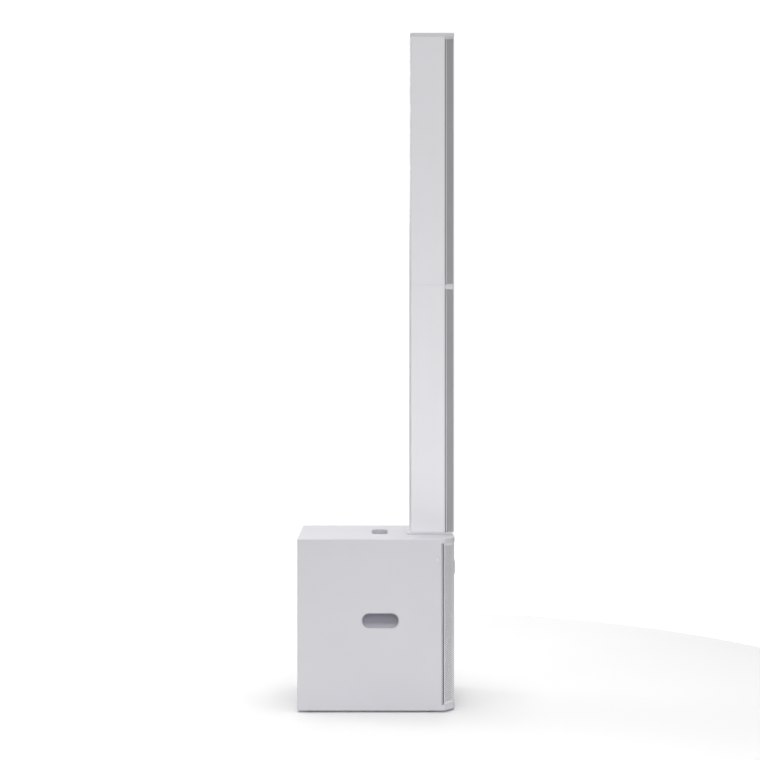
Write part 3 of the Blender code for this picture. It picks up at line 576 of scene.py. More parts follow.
def refined(node, width):
    """A CAD node's shape again, with its edges rounded as on the made thing."""
    shape = bmesh.new()
    shape.from_mesh(NODES[node].data)
    bmesh.ops.remove_doubles(shape, verts=shape.verts, dist=1e-6)
    bmesh.ops.dissolve_limit(shape, angle_limit=math.radians(0.5), verts=shape.verts, edges=shape.edges)
    return dress(node, eased(shape, width))


def node_box(node):
    """A CAD node's lowest and highest corners, and its middle."""
    low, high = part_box(node)
    return low, high, (low + high) / 2


def oblong(across, tall, grow):
    """An oblong with round ends, grown all round."""
    return rounded_rectangle(across + 2 * grow, tall + 2 * grow, tall / 2 + grow - ROUND_END, 14)


# ---- Perforated sheets ----


def half_wrap(start, start_normal, centre, radius, first, steps):
    """Half of a bent sheet's line in plan: its end, then an arc round to the front. Rows of x, y, nx, ny."""
    rows = [(*start, *start_normal)]
    for angle in np.radians(np.linspace(first, -90, steps + 1)):
        nx, ny = math.cos(angle), math.sin(angle)
        rows.append((centre[0] + radius * nx, centre[1] + radius * ny, nx, ny))
    return rows


def whole_wrap(half):
    """The line across the whole front from the left end, as arrays of distance and rows."""
    rows = np.array([(-x, y, -nx, ny) for x, y, nx, ny in half] + half[::-1])
    steps = np.hypot(np.diff(rows[:, 0]), np.diff(rows[:, 1]))
    return np.concatenate([[0.0], np.cumsum(steps)]), rows


def on_wrap(wrap, flat, depth):
    """Points of a flat sheet laid on the wrap, a depth behind its line."""
    distance, rows = wrap
    x, y, nx, ny = (np.interp(flat[:, 0], distance, rows[:, k]) for k in range(4))
    length = np.hypot(nx, ny)
    return np.stack([x - depth * nx / length, y - depth * ny / length, flat[:, 1]], 1)


def sub_wrap(inset):
    """The cabinet front's line, a distance inside the lips' outline."""
    slant_x = CORNER_SETBACK / math.tan(CORNER_SLANT)
    centre = (HALF_WIDTH - slant_x - CORNER_RADIUS * math.tan(CORNER_SLANT / 2), LIP_FRONT + CORNER_RADIUS)
    normal = (math.sin(CORNER_SLANT), -math.cos(CORNER_SLANT))
    start = (HALF_WIDTH - inset * normal[0], LIP_FRONT + CORNER_SETBACK - inset * normal[1])
    return half_wrap(start, normal, centre, CORNER_RADIUS - inset, math.degrees(CORNER_SLANT) - 90, 20)


def column_wrap(seam):
    """The column grille's line round the column's front, starting a seam ahead of the housing."""
    half, front = COLUMN_HALF - 0.0008, COLUMN_FRONT + 0.0005
    centre = (half - COLUMN_CORNER, front + COLUMN_CORNER)
    return half_wrap((half, HOUSING_FRONT - seam), (1.0, 0.0), centre, COLUMN_CORNER, 0, 16)


def lattice(length, low, high, pitch, margin, blank):
    """Staggered hole centres in the flat, and the places kept blank, each as (distance, height)."""
    columns = int((length - 2 * margin[0]) / pitch[0]) + 1
    rows = int((high - low - 2 * margin[1]) / pitch[1]) + 1
    holes, blanks = [], []
    for i in range(columns):
        u = length / 2 + (i - (columns - 1) / 2) * pitch[0]
        for j in range(rows - i % 2):
            z = (low + high) / 2 + (j - (rows - 1 - i % 2) / 2) * pitch[1]
            inside = blank is not None and abs(u - length / 2) < blank[0] and abs(z - blank[1]) < blank[2]
            (blanks if inside else holes).append((u, z))
    return np.array(holes), np.array(blanks).reshape(-1, 2)


def perforated(wrap, low, high, thick, radius, pitch, margin, blank=None):
    """A bent sheet with real holes, closed all round."""
    length = wrap[0][-1]
    holes, blanks = lattice(length, low, high, pitch, margin, blank)
    angles = np.radians(22.5 + 45 * np.arange(8))
    ring = radius * np.stack([np.cos(angles), np.sin(angles)], 1)
    hole_points = (holes[:, None, :] + ring[None]).reshape(-1, 2)
    across = np.unique(np.concatenate([wrap[0], np.arange(0, length, pitch[0])]).round(5))
    across = [u for u in across if 1e-4 < u < length - 1e-4]
    up = np.arange(low + pitch[1], high - pitch[1] / 2, pitch[1])
    border = (
        [(0, low)] + [(u, low) for u in across] + [(length, low)] + [(length, z) for z in up]
        + [(length, high)] + [(u, high) for u in reversed(across)] + [(0, high)] + [(0, z) for z in up[::-1]]
    )
    flat = np.concatenate([border, hole_points, blanks])
    first = len(border)
    octagons = [[first + 8 * i + k for k in range(8)] for i in range(len(holes))]
    edges = [(i, (i + 1) % first) for i in range(first)]
    scaled = [Vector(point) for point in flat * 1000]
    found = delaunay_2d_cdt(scaled, edges, octagons, 0, 1e-4, True)
    points = np.array([tuple(v) for v in found[0]]) / 1000
    faces = np.array([f for f, came_from in zip(found[2], found[5]) if not came_from])
    return sheet_body(wrap, points, faces, thick)


def sheet_body(wrap, points, faces, thick):
    """Gives a flat triangulation its bend and its thickness."""
    count = len(points)
    pairs = np.sort(np.concatenate([faces[:, [0, 1]], faces[:, [1, 2]], faces[:, [2, 0]]]), axis=1)
    keys, uses = np.unique(pairs[:, 0] * count + pairs[:, 1], return_counts=True)
    open_edges = set(keys[uses == 1].tolist())
    walls = []
    for a, b in np.concatenate([faces[:, [0, 1]], faces[:, [1, 2]], faces[:, [2, 0]]]).tolist():
        if min(a, b) * count + max(a, b) in open_edges:
            walls.append((b, a, a + count, b + count))
    verts = np.concatenate([on_wrap(wrap, points, 0.0), on_wrap(wrap, points, thick)])
    mesh = bpy.data.meshes.new("sheet")
    mesh.from_pydata(verts.tolist(), [], faces.tolist() + (faces[:, ::-1] + count).tolist() + walls)
    shape = bmesh.new()
    shape.from_mesh(mesh)
    bpy.data.meshes.remove(mesh)
    return shape


def plain_sheet(wrap, low, high, depth, thick, step=0.004):
    """A bent sheet without holes, behind the wrap's line."""
    length = wrap[0][-1]
    across = np.linspace(0, length, int(length / step) + 1)
    up = np.linspace(low, high, int((high - low) / (3 * step)) + 1)
    u, z = np.meshgrid(across, up)
    points = np.stack([u.ravel(), z.ravel()], 1)
    wide = len(across)
    faces = []
    for j in range(len(up) - 1):
        for i in range(wide - 1):
            a = j * wide + i
            faces += [(a, a + 1, a + wide + 1), (a, a + wide + 1, a + wide)]
    distance, rows = wrap
    moved = rows.copy()
    moved[:, 0] -= depth * rows[:, 2]
    moved[:, 1] -= depth * rows[:, 3]
    return sheet_body((distance, moved), points, np.array(faces), thick)


# ---- Fasteners and marks ----


def screw_head(radius, height, place):
    """A pan head with a socket recess, standing on its place."""
    profile = [
        (radius, -0.0004), (radius, 0.0), (radius, 0.25 * height), (radius * 0.97, 0.5 * height),
        (radius * 0.85, 0.8 * height), (radius * 0.65, 0.97 * height), (radius * 0.50, height),
    ]
    recess, half_side = radius * 0.42, math.pi / 6
    angles = np.linspace(0, 2 * math.pi, 25)[:-1]
    rings = [[(r * math.cos(a), r * math.sin(a), h) for a in angles] for r, h in profile]
    hexagon = []
    for a in angles:
        sector = (a % (2 * half_side)) - half_side
        reach = recess * math.cos(half_side) / math.cos(sector)
        hexagon.append((reach * math.cos(a), reach * math.sin(a)))
    rings.append([(x, y, height) for x, y in hexagon])
    rings.append([(x * 0.96, y * 0.96, 0.25 * height) for x, y in hexagon])
    return loft(rings, place)


def number(text, size, place):
    """A numeral as a thin raised print."""
    curve = bpy.data.curves.new("numeral", "FONT")
    curve.body = text
    curve.size = size
    curve.extrude = PRINT / 2
    curve.align_x = "CENTER"
    curve.align_y = "CENTER"
    curve.resolution_u = 3
    carrier = bpy.data.objects.new("numeral", curve)
    bpy.context.scene.collection.objects.link(carrier)
    shape = baked(carrier)
    bmesh.ops.remove_doubles(shape, verts=shape.verts, dist=1e-7)
    return placed(shape, place)


def mark(width, height, place):
    """A short printed line with round ends."""
    return prism(rounded_rectangle(width, height, min(width, height) * 0.45, 3), -PRINT / 2, PRINT / 2, place)


# ---- Subwoofer ----


def slot_cutter(width, height, turn):
    """A cutter for an oblong hole whose mouth rounds outward, along its frame's third axis."""
    rings = []
    levels = [(-0.02, 0.0)]
    for angle in np.radians(np.linspace(0, 90, 6)):
        levels.append((-HOLD_EASE + HOLD_EASE * math.sin(angle), HOLD_EASE * (1 - math.cos(angle))))
    levels.append((HOLD_EASE * 2, HOLD_EASE * 1.02))
    for level, grow in levels:
        rings.append([(x, y, level) for x, y in oblong(width, height, grow)])
    return loft(rings, turn)


def cabinet():
    """The painted shell, with its lips, rounded edges and hand hold mouths."""
    half = [(HALF_WIDTH, BACK), *[row[:2] for row in sub_wrap(0.0)]]
    low, high = CABINET_LOW.z, SUB_TOP
    outline = mirrored(half)
    shell = loft([[(x, y, low) for x, y in outline], [(x, y, high) for x, y in outline]])
    weights = shell.edges.layers.float.new("bevel_weight_edge")
    for edge in shell.edges:
        a, b = (vert.co for vert in edge.verts)
        upright = abs(a.z - b.z) > 0.1
        along_side = abs(a.x - b.x) < 1e-6 and abs(a.y - b.y) > 0.1
        if along_side and a.z > low + 0.1:
            edge[weights] = 1.0
        elif not upright and a.z < low + 0.1:
            edge[weights] = BOTTOM_EDGE_RADIUS / TOP_EDGE_RADIUS
        elif not upright or a.y > 0:
            edge[weights] = SMALL_EDGE_RADIUS / TOP_EDGE_RADIUS
    piece = loose("shell", shell)
    bevel = piece.modifiers.new("edges", "BEVEL")
    bevel.limit_method = "WEIGHT"
    bevel.width = TOP_EDGE_RADIUS
    bevel.segments = 8
    shell = baked(piece)

    grille_low, grille_high = (corner.z + gap for corner, gap in zip(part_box("sub_grille"), (-GAP, GAP)))
    edge_y = LIP_FRONT + CORNER_SETBACK + 0.0020
    slant, outer = 0.009, HALF_WIDTH + 0.02
    pocket = mirrored([(outer, edge_y + slant + 0.02), (HALF_WIDTH - slant, edge_y)])
    pocket += [(-outer, -2 * BACK), (outer, -2 * BACK)]
    cutters = [
        prism(pocket, grille_low, grille_high),
        block(
            (CABINET_WALL - HALF_WIDTH, -2 * BACK, grille_low),
            (HALF_WIDTH - CABINET_WALL, BACK - CABINET_WALL, grille_high),
        ),
        amp_cutter(),
    ]
    low, high, middle = node_box("side_hold_cup_left")
    across, tall = high.y - low.y + 2 * GAP, high.z - low.z + 2 * GAP
    for side, turn in ((-1, LEFT), (1, RIGHT)):
        cutters.append(slot_cutter(across, tall, at(side * HALF_WIDTH, middle.y, middle.z, turn)))
    low, high, middle = node_box("top_hold_cup")
    across, deep = high.x - low.x + 2 * GAP, high.y - low.y + 2 * GAP
    cutters.append(slot_cutter(across, deep, at(0, middle.y, SUB_TOP)))
    low = (-0.029, PLUG_MIDDLE - 0.016, grille_high - 0.02)
    cutters.append(block(low, (0.029, PLUG_MIDDLE + 0.016, SUB_TOP + 0.02)))
    plug = node_box("side_plug_right")[2]
    for side in (-1, 1):
        pin = at(side * PIN_SPREAD, PLUG_MIDDLE, 0)
        cutters.append(prism(circle(0.0065), SUB_TOP - 0.04, SUB_TOP + 0.04, pin))
        cutters.append(prism(circle(0.0043), -0.003, 0.003, at(side * HALF_WIDTH, plug.y, plug.z, RIGHT)))
    shell = eased(carve(shell, cutters), 0.0006, 50)
    add("cabinet_shell", shell, "cabinet_paint", "subwoofer", stands_for=["cabinet"])


def amp_cutter():
    """The amplifier's opening in the back, with an eased mouth."""
    rings = []
    middle = node_box("amp_panel")[2].z
    for level, grow in ((-0.03, 0.0), (-0.0010, 0.0), (-0.0004, 0.0002), (0.0, 0.0010), (0.004, 0.0020)):
        outline = rounded_rectangle(AMP_OPENING[0] + 2 * grow, AMP_OPENING[1] + 2 * grow, 0.008 + grow, 6)
        rings.append([(-x, level, y + middle) for x, y in outline])
    shape = loft(rings)
    bmesh.ops.translate(shape, vec=(0, BACK, 0), verts=shape.verts)
    return shape


def scooped(x, y, level, tall, rise):
    """A point of a cup's inside, whose depth grows from its lower edge to its upper edge."""
    share = min(1.0, max(0.0, 0.5 + y / tall))
    return x, y, level * (1.0 - rise * (1.0 - share * share * (3 - 2 * share)))


def hold_cup(node, turn, place, look=None, rise=0.0):
    """A moulded cup with a rounded floor. With a rise, its floor slopes out to the lower edge."""
    low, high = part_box(node)
    size = high - low
    depth, across, tall = (size.z, size.x, size.y) if turn is PLAN else (size.x, size.y, size.z)
    outside = [(0.0, -0.0004), (-0.0004, 0.0), (-depth + 0.004, 0.0)]
    outside += [(-depth + 0.001, -0.001), (-depth, -0.004)]
    rings = [[(x, y, level) for x, y in oblong(across, tall, grow)] for level, grow in outside]
    inside = []
    for level, grow in (
        (0.0, 0.0), (-0.0006, 0.0), (-depth + CUP_WALL + 0.006, -0.0004),
        (-depth + CUP_WALL + 0.003, -0.0012), (-depth + CUP_WALL + 0.001, -0.003),
        (-depth + CUP_WALL, -0.006),
    ):
        inside.append([scooped(x, y, level, tall, rise) for x, y in oblong(across, tall, grow - CUP_WALL)])
    dress(node, loft(rings[::-1] + inside, place @ turn), look, 50)


def hand_holds():
    """The cups of the three hand holds."""
    for node, turn, mouth in (("side_hold_cup_left", LEFT, 0), ("side_hold_cup_right", RIGHT, 1)):
        *corners, middle = node_box(node)
        hold_cup(node, turn, at(corners[mouth].x, middle.y, middle.z), rise=0.95)
    _, high, middle = node_box("top_hold_cup")
    # The top cup takes the lighter copy of the cup colour: painted light against the shade inside it.
    hold_cup("top_hold_cup", PLAN, at(0, middle.y, high.z), "hold_light")


def sub_front():
    """The perforated sheet, the cloth behind it and the badge."""
    low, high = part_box("sub_grille")
    wrap = whole_wrap(sub_wrap(GRILLE_INSET))
    badge_low, badge_high, middle = node_box("grille_badge")
    size = badge_high - badge_low
    blank = (size.x / 2 + 0.003, middle.z, size.z / 2 + 0.002)
    sheet = perforated(wrap, low.z, high.z, SHEET, SUB_HOLE_RADIUS, SUB_PITCH, (0.0042, 0.0075), blank)
    name = "sub_grille_perforated"
    add(name, sheet, "grille_paint", "subwoofer", stands_for=["sub_grille"], angle=50, even=False)
    cloth = plain_sheet(wrap, low.z + 0.003, high.z - 0.003, SHEET + 0.0006, CLOTH)
    made = add("sub_cloth", cloth, "cloth_dark", "subwoofer")
    place = at(middle.x, badge_high.y, middle.z, FRONT)
    plate = prism(rounded_rectangle(size.x, size.z, 0.006, 8), 0, size.y, place, 0.0009, 4)
    add("grille_badge_plate", plate, "moulded_white", "subwoofer", stands_for=["grille_badge"])


def side_plugs():
    """The small domed blanking plugs."""
    for node, side, turn in (("side_plug_left", -1, LEFT), ("side_plug_right", 1, RIGHT)):
        low, high, middle = node_box(node)
        radius = (high.z - low.z) / 2
        face = low.x if side < 0 else high.x
        depth = high.x - low.x
        profile = [
            (0, -depth), (radius * 0.92, -depth), (radius, -depth * 0.8), (radius, -0.0006),
            (radius * 0.93, -0.0001), (radius * 0.85, 0.0), (radius * 0.40, -0.0001),
            (radius * 0.34, -0.0006), (0, -0.0006),
        ]
        dress(node, lathe(profile, 32, at(face, middle.y, middle.z, turn)))


def feet():
    """Rubber feet with a fixing screw in the middle of each."""
    for node in [n for n in NODES if n.startswith("foot_")]:
        low, high, middle = node_box(node)
        tall = high.z - low.z
        outer = (high.x - low.x) / 2
        profile = [
            (0.0036, tall), (outer - 0.0006, tall), (outer - 0.0002, tall - 0.0006), (outer - 0.0018, 0.0016),
            (outer - 0.0024, 0.0005), (outer - 0.0034, 0.0), (0.0075, 0.0), (0.0068, 0.0006),
            (0.0068, 0.0030), (0.0036, 0.0030),
        ]
        dress(node, lathe(profile, 48, at(middle.x, middle.y, low.z)))
        head = screw_head(0.0046, 0.0018, at(middle.x, middle.y, low.z + 0.0030, DOWN))
        hardware(f"{node}_screw", [head], "screw_black")


def dock():
    """The docking plate with its openings and screws."""
    low, high, middle = node_box("dock_plate")
    size = high - low
    outline = rounded_rectangle(size.x, size.y, 0.004, 8, (middle.x, middle.y))
    plate = prism(outline, low.z, high.z, PLAN, 0.0008, 3)
    bottom, top = low.z - 0.01, high.z + 0.01
    cutters = [block((-0.0265, PLUG_MIDDLE - 0.0135, bottom), (0.0265, PLUG_MIDDLE + 0.0135, top))]
    for side in (-1, 1):
        cutters.append(prism(circle(0.0056), bottom, top, at(side * PIN_SPREAD, PLUG_MIDDLE, 0)))
    dress("dock_plate", eased(carve(plate, cutters), 0.0004))
    heads = [screw_head(0.0026, 0.0002, at(x, high.y - 0.0060, high.z)) for x in (-0.0655, 0.0655)]
    add("dock_plate_screws", merged(heads), "screw_white", "subwoofer")


def contacts(name, node, level, apart, pad, top, rim, turn=PLAN):
    """A connector's two rows of contacts, each a small pad."""
    pads = []
    for row in (-1, 1):
        for index in range(4):
            place = at((index - 1.5) * CONTACT_PITCH, PLUG_MIDDLE + row * apart, level, turn)
            pads.append(prism(rounded_rectangle(*pad, 3), -0.0004, top, place, rim, 2))
    hardware(name, pads, "contact", BODY_OF[node])


# ---- Column ----


def housing(node, notch=False):
    """An extruded U section with soft corners. The notch is for lifting off the element above."""
    low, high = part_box(node)
    outer, inner = COLUMN_HALF, COLUMN_HALF - COLUMN_WALL
    ease = 0.0016
    half = [
        *arc((outer - COLUMN_CORNER, COLUMN_REAR - COLUMN_CORNER), COLUMN_CORNER, 90, 0, 12),
        *arc((outer - ease, HOUSING_FRONT + ease), ease, 0, -90, 4),
        *arc((inner + 0.0004, HOUSING_FRONT + 0.0004), 0.0004, -90, -180, 2),
        *arc((inner - 0.002, COLUMN_REAR - COLUMN_WALL - 0.002), 0.002, 0, 90, 4),
    ]
    shape = prism(mirrored(half), low.z, high.z, PLAN, 0.00015, 2)
    if notch:
        low, high = (-0.015, COLUMN_REAR - 0.01, high.z - 0.010), (0.015, COLUMN_REAR + 0.01, high.z + 0.01)
        shape = carve(shape, [block(low, high, 0.002, 4)])
    dress(node, shape)


def column_front(node, foot, head):
    """An element's perforated sheet and the dark cloth behind it, between two end caps."""
    low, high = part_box(node)
    body = BODY_OF[node]
    wrap = whole_wrap(column_wrap(COLUMN_SEAM))
    sheet = perforated(wrap, low.z, high.z, COLUMN_SHEET, COLUMN_HOLE_RADIUS, COLUMN_PITCH, (0.0028, 0.0033))
    name = f"{node}_perforated"
    add(name, sheet, "grille_paint", body, stands_for=[node], angle=50, even=False)
    wrap = whole_wrap(column_wrap(GAP))
    low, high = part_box(foot)[1].z + 0.001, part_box(head)[0].z - 0.001
    made = add(
        f"{node}_cloth", plain_sheet(wrap, low, high, COLUMN_SHEET + 0.0005, CLOTH), "cloth_dark", body,
    )


def column():
    """Both elements' outer pieces."""
    housing("lower_housing", notch=True)
    housing("upper_housing")
    column_front("lower_grille", "lower_foot_cap", "lower_head_cap")
    column_front("upper_grille", "upper_foot_cap", "upper_top_cap")
    lid = refined("upper_top_cap", 0.0004)
    lid.data.materials.append(LOOKS["black_plastic"])
    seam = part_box("upper_grille")[1].z
    for face in lid.data.polygons:
        face.material_index = int(max(lid.data.vertices[i].co.z for i in face.vertices) < seam)
    for name, node in (("dock_contacts", "dock_socket"), ("lower_contacts", "lower_socket")):
        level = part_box(node)[1].z - SOCKET_DEPTH
        contacts(name, node, level, 0.0042, (0.0058, 0.0034, 0.0008), 0.0006, 0.0003)
    for node in ("lower_plug", "upper_plug"):
        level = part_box(node)[0].z
        contacts(f"{node}_contacts", node, level, 0.0036, (0.0046, 0.0026, 0.0006), 0.0005, 0.0002, DOWN)


# ---- Rear panel ----


def on_panel(x, z, out=0.0):
    """A frame on the rear panel's face, outward along its third axis."""
    return at(x, PANEL_FACE + out, z, REAR)


def panel_marks():
    """Numbered dials round the knobs, and the printed lines between the panel's groups."""
    ticks, numerals = [], []
    for index in range(1, 5):
        middle = node_box(f"level_knob_{index}")[2]
        for step in range(DIAL_STEPS + 1):
            turn = math.radians(DIAL_SWEEP * (1 - 2 * step / DIAL_STEPS))
            place = on_panel(middle.x, middle.z) @ Matrix.Rotation(turn, 4, "Z")
            length = 0.0018 if step % 5 else 0.0028
            ticks.append(mark(0.0004, length, place @ at(0, TICK_RADIUS, 0)))
            upright = Matrix.Rotation(-turn, 4, "Z")
            numerals.append(number(str(step), 0.0034, place @ at(0, NUMERAL_RADIUS, 0, upright)))
    for z in GROUP_LINES:
        ticks.append(mark(0.196, 0.0005, on_panel(0, z)))
    for node in (*SIGNAL_SOCKETS, "mode_button", "status_light"):
        ticks.append(mark(0.0005, 0.0060, on_panel(node_box(node)[2].x, 0.3680)))
    add("panel_ticks", merged(ticks), "ink", "subwoofer", even=False)
    add("panel_numerals", merged(numerals), "ink", "subwoofer", even=False)


def panel_screws():
    """The screws of the panel, the heat sink, the inlet and the sockets."""
    middle = node_box("amp_panel")[2]
    spots = [(x, z) for x in (-0.106, 0.106) for z in (-0.176, -0.060, 0.060, 0.176)]
    spots += [(0, -0.176), (0, 0.176)]
    heads = [screw_head(0.0036, 0.0020, on_panel(x, middle.z + z)) for x, z in spots]
    for node in (*SIGNAL_SOCKETS, "mains_inlet"):
        across, up = (0.0098, 0.0125) if node in SIGNAL_SOCKETS else (0.0200, 0.0)
        spot = node_box(node)[2]
        for side in (-1, 1):
            place = on_panel(spot.x + side * across, spot.z + side * up, FLANGE)
            heads.append(screw_head(0.0016, 0.0009, place))
    hardware("panel_screws", heads, "screw_black")


def knobs():
    """Ribbed knobs with a skirt, and a pointer line over each one's edge."""
    for index in range(1, 5):
        node = f"level_knob_{index}"
        low, high, middle = node_box(node)
        top = high.y - PANEL_FACE
        radius = (high.x - low.x) / 2
        profile = [(0, top - 0.0004), (0.0048, top - 0.0004), (0.0056, top), (0.0062, top - 0.0001)]
        profile += [(0.0066, top - 0.0006), (0.0069, top - 0.0020), (0.0074, 0.0034), (0.0075, 0.0024)]
        profile += [(radius - 0.0006, 0.0018), (radius - 0.0001, 0.0013), (radius, 0.0008), (radius, 0.0006)]
        profile += [(0.0030, 0.0006), (0.0030, low.y - PANEL_FACE), (0, low.y - PANEL_FACE)]

        def ribs(height, angle):
            depth = 0.055 if 0.0023 < height < top - 0.0005 else 0.0
            return 1.0 - depth * max(0.0, math.cos(18 * angle)) ** 2

        place = on_panel(middle.x, middle.z)
        dress(node, lathe(profile, 144, place, ribs))
        line = block((-0.0004, 0.0015, top - 0.0006), (0.0004, 0.0058, top + 0.0001), 0.0001, 2, place)
        skirt = block((-0.0004, 0.0077, 0.0013), (0.0004, 0.0089, 0.0019), 0.0001, 2, place)
        add(f"{node}_pointer", merged([line, skirt]), "ink", BODY_OF[node])


def panel_sockets():
    """The signal sockets' pins and latches, and the mains inlet's blades."""
    pins, latches = [], []
    floor = -0.0160
    profile = [(0, floor + 0.0095), (0.0005, floor + 0.0094), (0.0010, floor + 0.0086)]
    profile += [(0.0011, floor), (0, floor)]
    for node in SIGNAL_SOCKETS:
        middle = node_box(node)[2]
        place = on_panel(middle.x, middle.z)
        for turn in np.radians((90, 210, 330)):
            pins.append(lathe(profile, 20, place @ at(0.0042 * math.cos(turn), 0.0042 * math.sin(turn), 0)))
        latches.append(block((-0.0042, 0.0094, FLANGE), (0.0042, 0.0144, FLANGE + 0.0012), 0.0004, 2, place))
    middle = node_box("mains_inlet")[2]
    place = on_panel(middle.x, middle.z)
    for x, z in ((-0.0070, -0.0018), (0.0, 0.0020), (0.0070, -0.0018)):
        low, high = (x - 0.0010, z - 0.0020, -0.0152), (x + 0.0010, z + 0.0020, -0.0030)
        pins.append(block(low, high, 0.0004, 2, place))
    hardware("socket_pins", pins, "contact")
    hardware("socket_latches", latches, "steel")


def panel_turned(node):
    """A round control's radius, its top and back from the panel's face, and its place on the panel."""
    low, high, middle = node_box(node)
    return (high.x - low.x) / 2, high.y - PANEL_FACE, low.y - PANEL_FACE, on_panel(middle.x, middle.z)


def panel_controls():
    """The mode button, and the status light with its bezel."""
    radius, top, back, place = panel_turned("mode_button")
    profile = [(0, top - 0.0005), (radius * 0.5, top - 0.0004), (radius * 0.85, top - 0.0001)]
    profile += [(radius * 0.93, top), (radius * 0.98, top - 0.0002), (radius, top - 0.0006)]
    profile += [(radius, back + 0.0003), (radius * 0.9, back), (0, back)]
    dress("mode_button", lathe(profile, 48, place))
    radius, top, back, place = panel_turned("status_light")
    angles = np.radians(np.linspace(0, 90, 9))
    dome = [(radius * math.sin(a), top - 0.0013 * (1 - math.cos(a))) for a in angles]
    dress("status_light", lathe([*dome, (radius, back), (0, back)], 40, place))
    bezel = [(0, 0.0), (0.0013, 0.0), (0.0012, 0.0005), (0.0008, 0.0007), (0, 0.0007)]
    bezel = [(radius + out + 0.00005, up + 0.00002) for out, up in bezel]
    add("status_light_bezel", lathe(bezel, 40, place), "black_plastic", "subwoofer")


# ---- Woofer ----


def polar(radius, angle, height):
    """A point from its radius, angle and height."""
    return radius * math.cos(angle), radius * math.sin(angle), height


def woofer():
    """The basket's bolts and the ribbed cone."""
    place = woofer_place()
    bolts = []
    for index in range(BOLTS):
        angle = math.radians(22.5 + 360 / BOLTS * index)
        bolts.append(screw_head(0.0030, 0.0026, place @ at(*polar(BOLT_CIRCLE, angle, 0.0060))))
    hardware("woofer_bolts", bolts, "screw_black")
    radius, height = CONE_THROAT
    cone = [(0.0335, height), CONE_THROAT]
    for step in range(1, CONE_STEPS):
        share = step / CONE_STEPS
        ridge = 0.0004 * max(0.0, math.sin(2 * math.pi * 4 * share))
        cone.append((radius + 0.0848 * share, height + 0.0415 * share + ridge))
    cone += [(0.1200, 0.0015), (0.1220, 0.0015), (0.1220, -0.0005), (0.1205, -0.0005)]
    cone += [(radius, -0.0430), (radius, -0.0860), (0.0335, -0.0860)]
    dress("woofer_cone", lathe(cone, 96, place))


def woofer_place():
    """The woofer's frame: its middle on the baffle's face, outward along the third axis."""
    return at(0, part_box("front_baffle")[0].y, node_box("woofer_basket")[2].z, FRONT)


def woofer_roll():
    """The rolled surround in sectors between the basket and the cone."""
    place = woofer_place()
    sections = []
    for angle in np.linspace(0, math.pi, 13):
        radius = ROLL_MIDDLE - ROLL_SIZE[0] * math.cos(angle)
        sections.append((radius, 0.0022 + ROLL_SIZE[1] * math.sin(angle)))
    outline = [(0.1221, 0.0018), (0.1221, 0.0026), *sections, (0.1366, 0.0026), (0.1366, 0.0012)]
    outline += [(r, h - 0.0008) for r, h in reversed(sections)]
    sector = 2 * math.pi / ROLL_SECTORS
    for index in range(ROLL_SECTORS):
        first = sector * index
        rings = [[polar(r, angle, h) for r, h in outline] for angle in np.linspace(first, first + sector, 7)]
        piece = loose(f"woofer_roll_{index + 1}", loft(rings, place))
        piece.data.materials.append(LOOKS["rubber"])
        piece.data.shade_smooth()
        piece.data.set_sharp_from_angle(angle=math.radians(35))
        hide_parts("woofer_surround")
        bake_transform(piece)


# ---- Everything else keeps its CAD shape ----


def eased_nodes():
    """CAD shapes that only need their edges rounded."""
    for width, nodes in EASED.items():
        for node in nodes:
            refined(node, width)


def plain_nodes():
    """Gives each CAD node that is still shown its look."""
    for node, slot in SLOT_OF.items():
        if not NODES[node].hide_render:
            NODES[node].data.materials.clear()
            NODES[node].data.materials.append(LOOKS[slot])


# ---- Light, floor and camera ----


def area(name, place, aim, size, power):
    """A soft rectangular light aimed at a point."""
    light = bpy.data.lights.new(name, "AREA")
    light.shape = "RECTANGLE"
    light.size, light.size_y = size
    light.energy = power
    made = bpy.data.objects.new(name, light)
    made.location = place
    made.rotation_euler = (Vector(aim) - Vector(place)).to_track_quat("-Z", "Y").to_euler()
    bpy.context.scene.collection.objects.link(made)


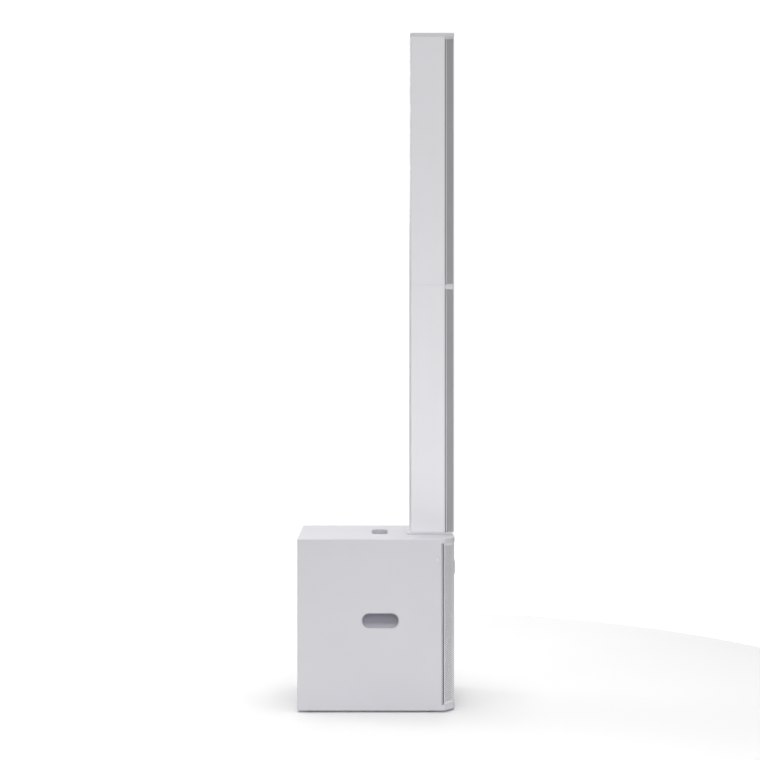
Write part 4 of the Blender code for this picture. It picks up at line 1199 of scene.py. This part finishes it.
def floor():
    """A plain round floor of pale matt paper."""
    sheet = loose("floor", prism(circle(FLOOR_RADIUS, 96), -0.02, 0.0))
    look = Look("floor_paper")
    grain = look.noise(2.0, 3.0)
    look.set(
        Base_Color=look.mix(grain, (0.945, 0.945, 0.945), (0.955, 0.955, 0.955)),
        Roughness=look.remap(grain, 0, 1, 0.85, 0.95),
        Specular_IOR_Level=0.1,
    )
    sheet.data.materials.append(look.material)


def surround():
    """An even surround that the camera sees as white and that lights the object faintly."""
    world = bpy.data.worlds.new("surround")
    bpy.context.scene.world = world
    world.use_nodes = True
    tree = world.node_tree
    background = tree.nodes["Background"]
    background.inputs["Color"].default_value = (1, 1, 1, 1)
    seen = tree.nodes.new("ShaderNodeLightPath")
    strength = tree.nodes.new("ShaderNodeMapRange")
    strength.inputs["To Min"].default_value = SURROUND_LIGHT
    strength.inputs["To Max"].default_value = 1.05
    tree.links.new(seen.outputs["Is Camera Ray"], strength.inputs["Value"])
    tree.links.new(strength.outputs["Result"], background.inputs["Strength"])


def lights():
    """Soft lights above, at the left side, in front and behind."""
    area("ceiling", (-0.2, 0.1, 4.5), (-0.2, 0.1, 0), (4.0, 4.0), 166)
    area("side", (-3.2, 0, 1.5), (0, 0, 0.8), (2.0, 2.0), 23)
    area("side_low", (-2.4, 0, 0.62), (0, 0, 0.6), (1.2, 0.8), 13)
    area("front_left", (-1.4, -3.0, 1.0), (0, 0, 0.8), (1.6, 1.6), 14)
    area("back", (3.0, 0, 2.6), (0, 0, 0.2), (3.0, 2.0), 46)
    area("rear", (1.2, 3.0, 1.4), (0, 0, 0.6), (1.6, 1.6), 26)


def camera():
    """The camera, square to the object's left side."""
    lens_data = bpy.data.cameras.new("camera")
    lens_data.lens = CAMERA_LENS
    lens_data.sensor_width = 36
    lens_data.shift_x, lens_data.shift_y = CAMERA_SHIFT
    made = bpy.data.objects.new("camera", lens_data)
    made.location = CAMERA_PLACE
    made.rotation_euler = (math.pi / 2, 0, -math.pi / 2)
    bpy.context.scene.collection.objects.link(made)
    bpy.context.scene.camera = made
    bpy.context.scene.view_settings.view_transform = "Standard"


cabinet()
hand_holds()
sub_front()
side_plugs()
feet()
dock()
column()
panel_marks()
panel_screws()
knobs()
panel_sockets()
panel_controls()
woofer()
woofer_roll()
eased_nodes()
plain_nodes()
floor()
surround()
lights()
camera()
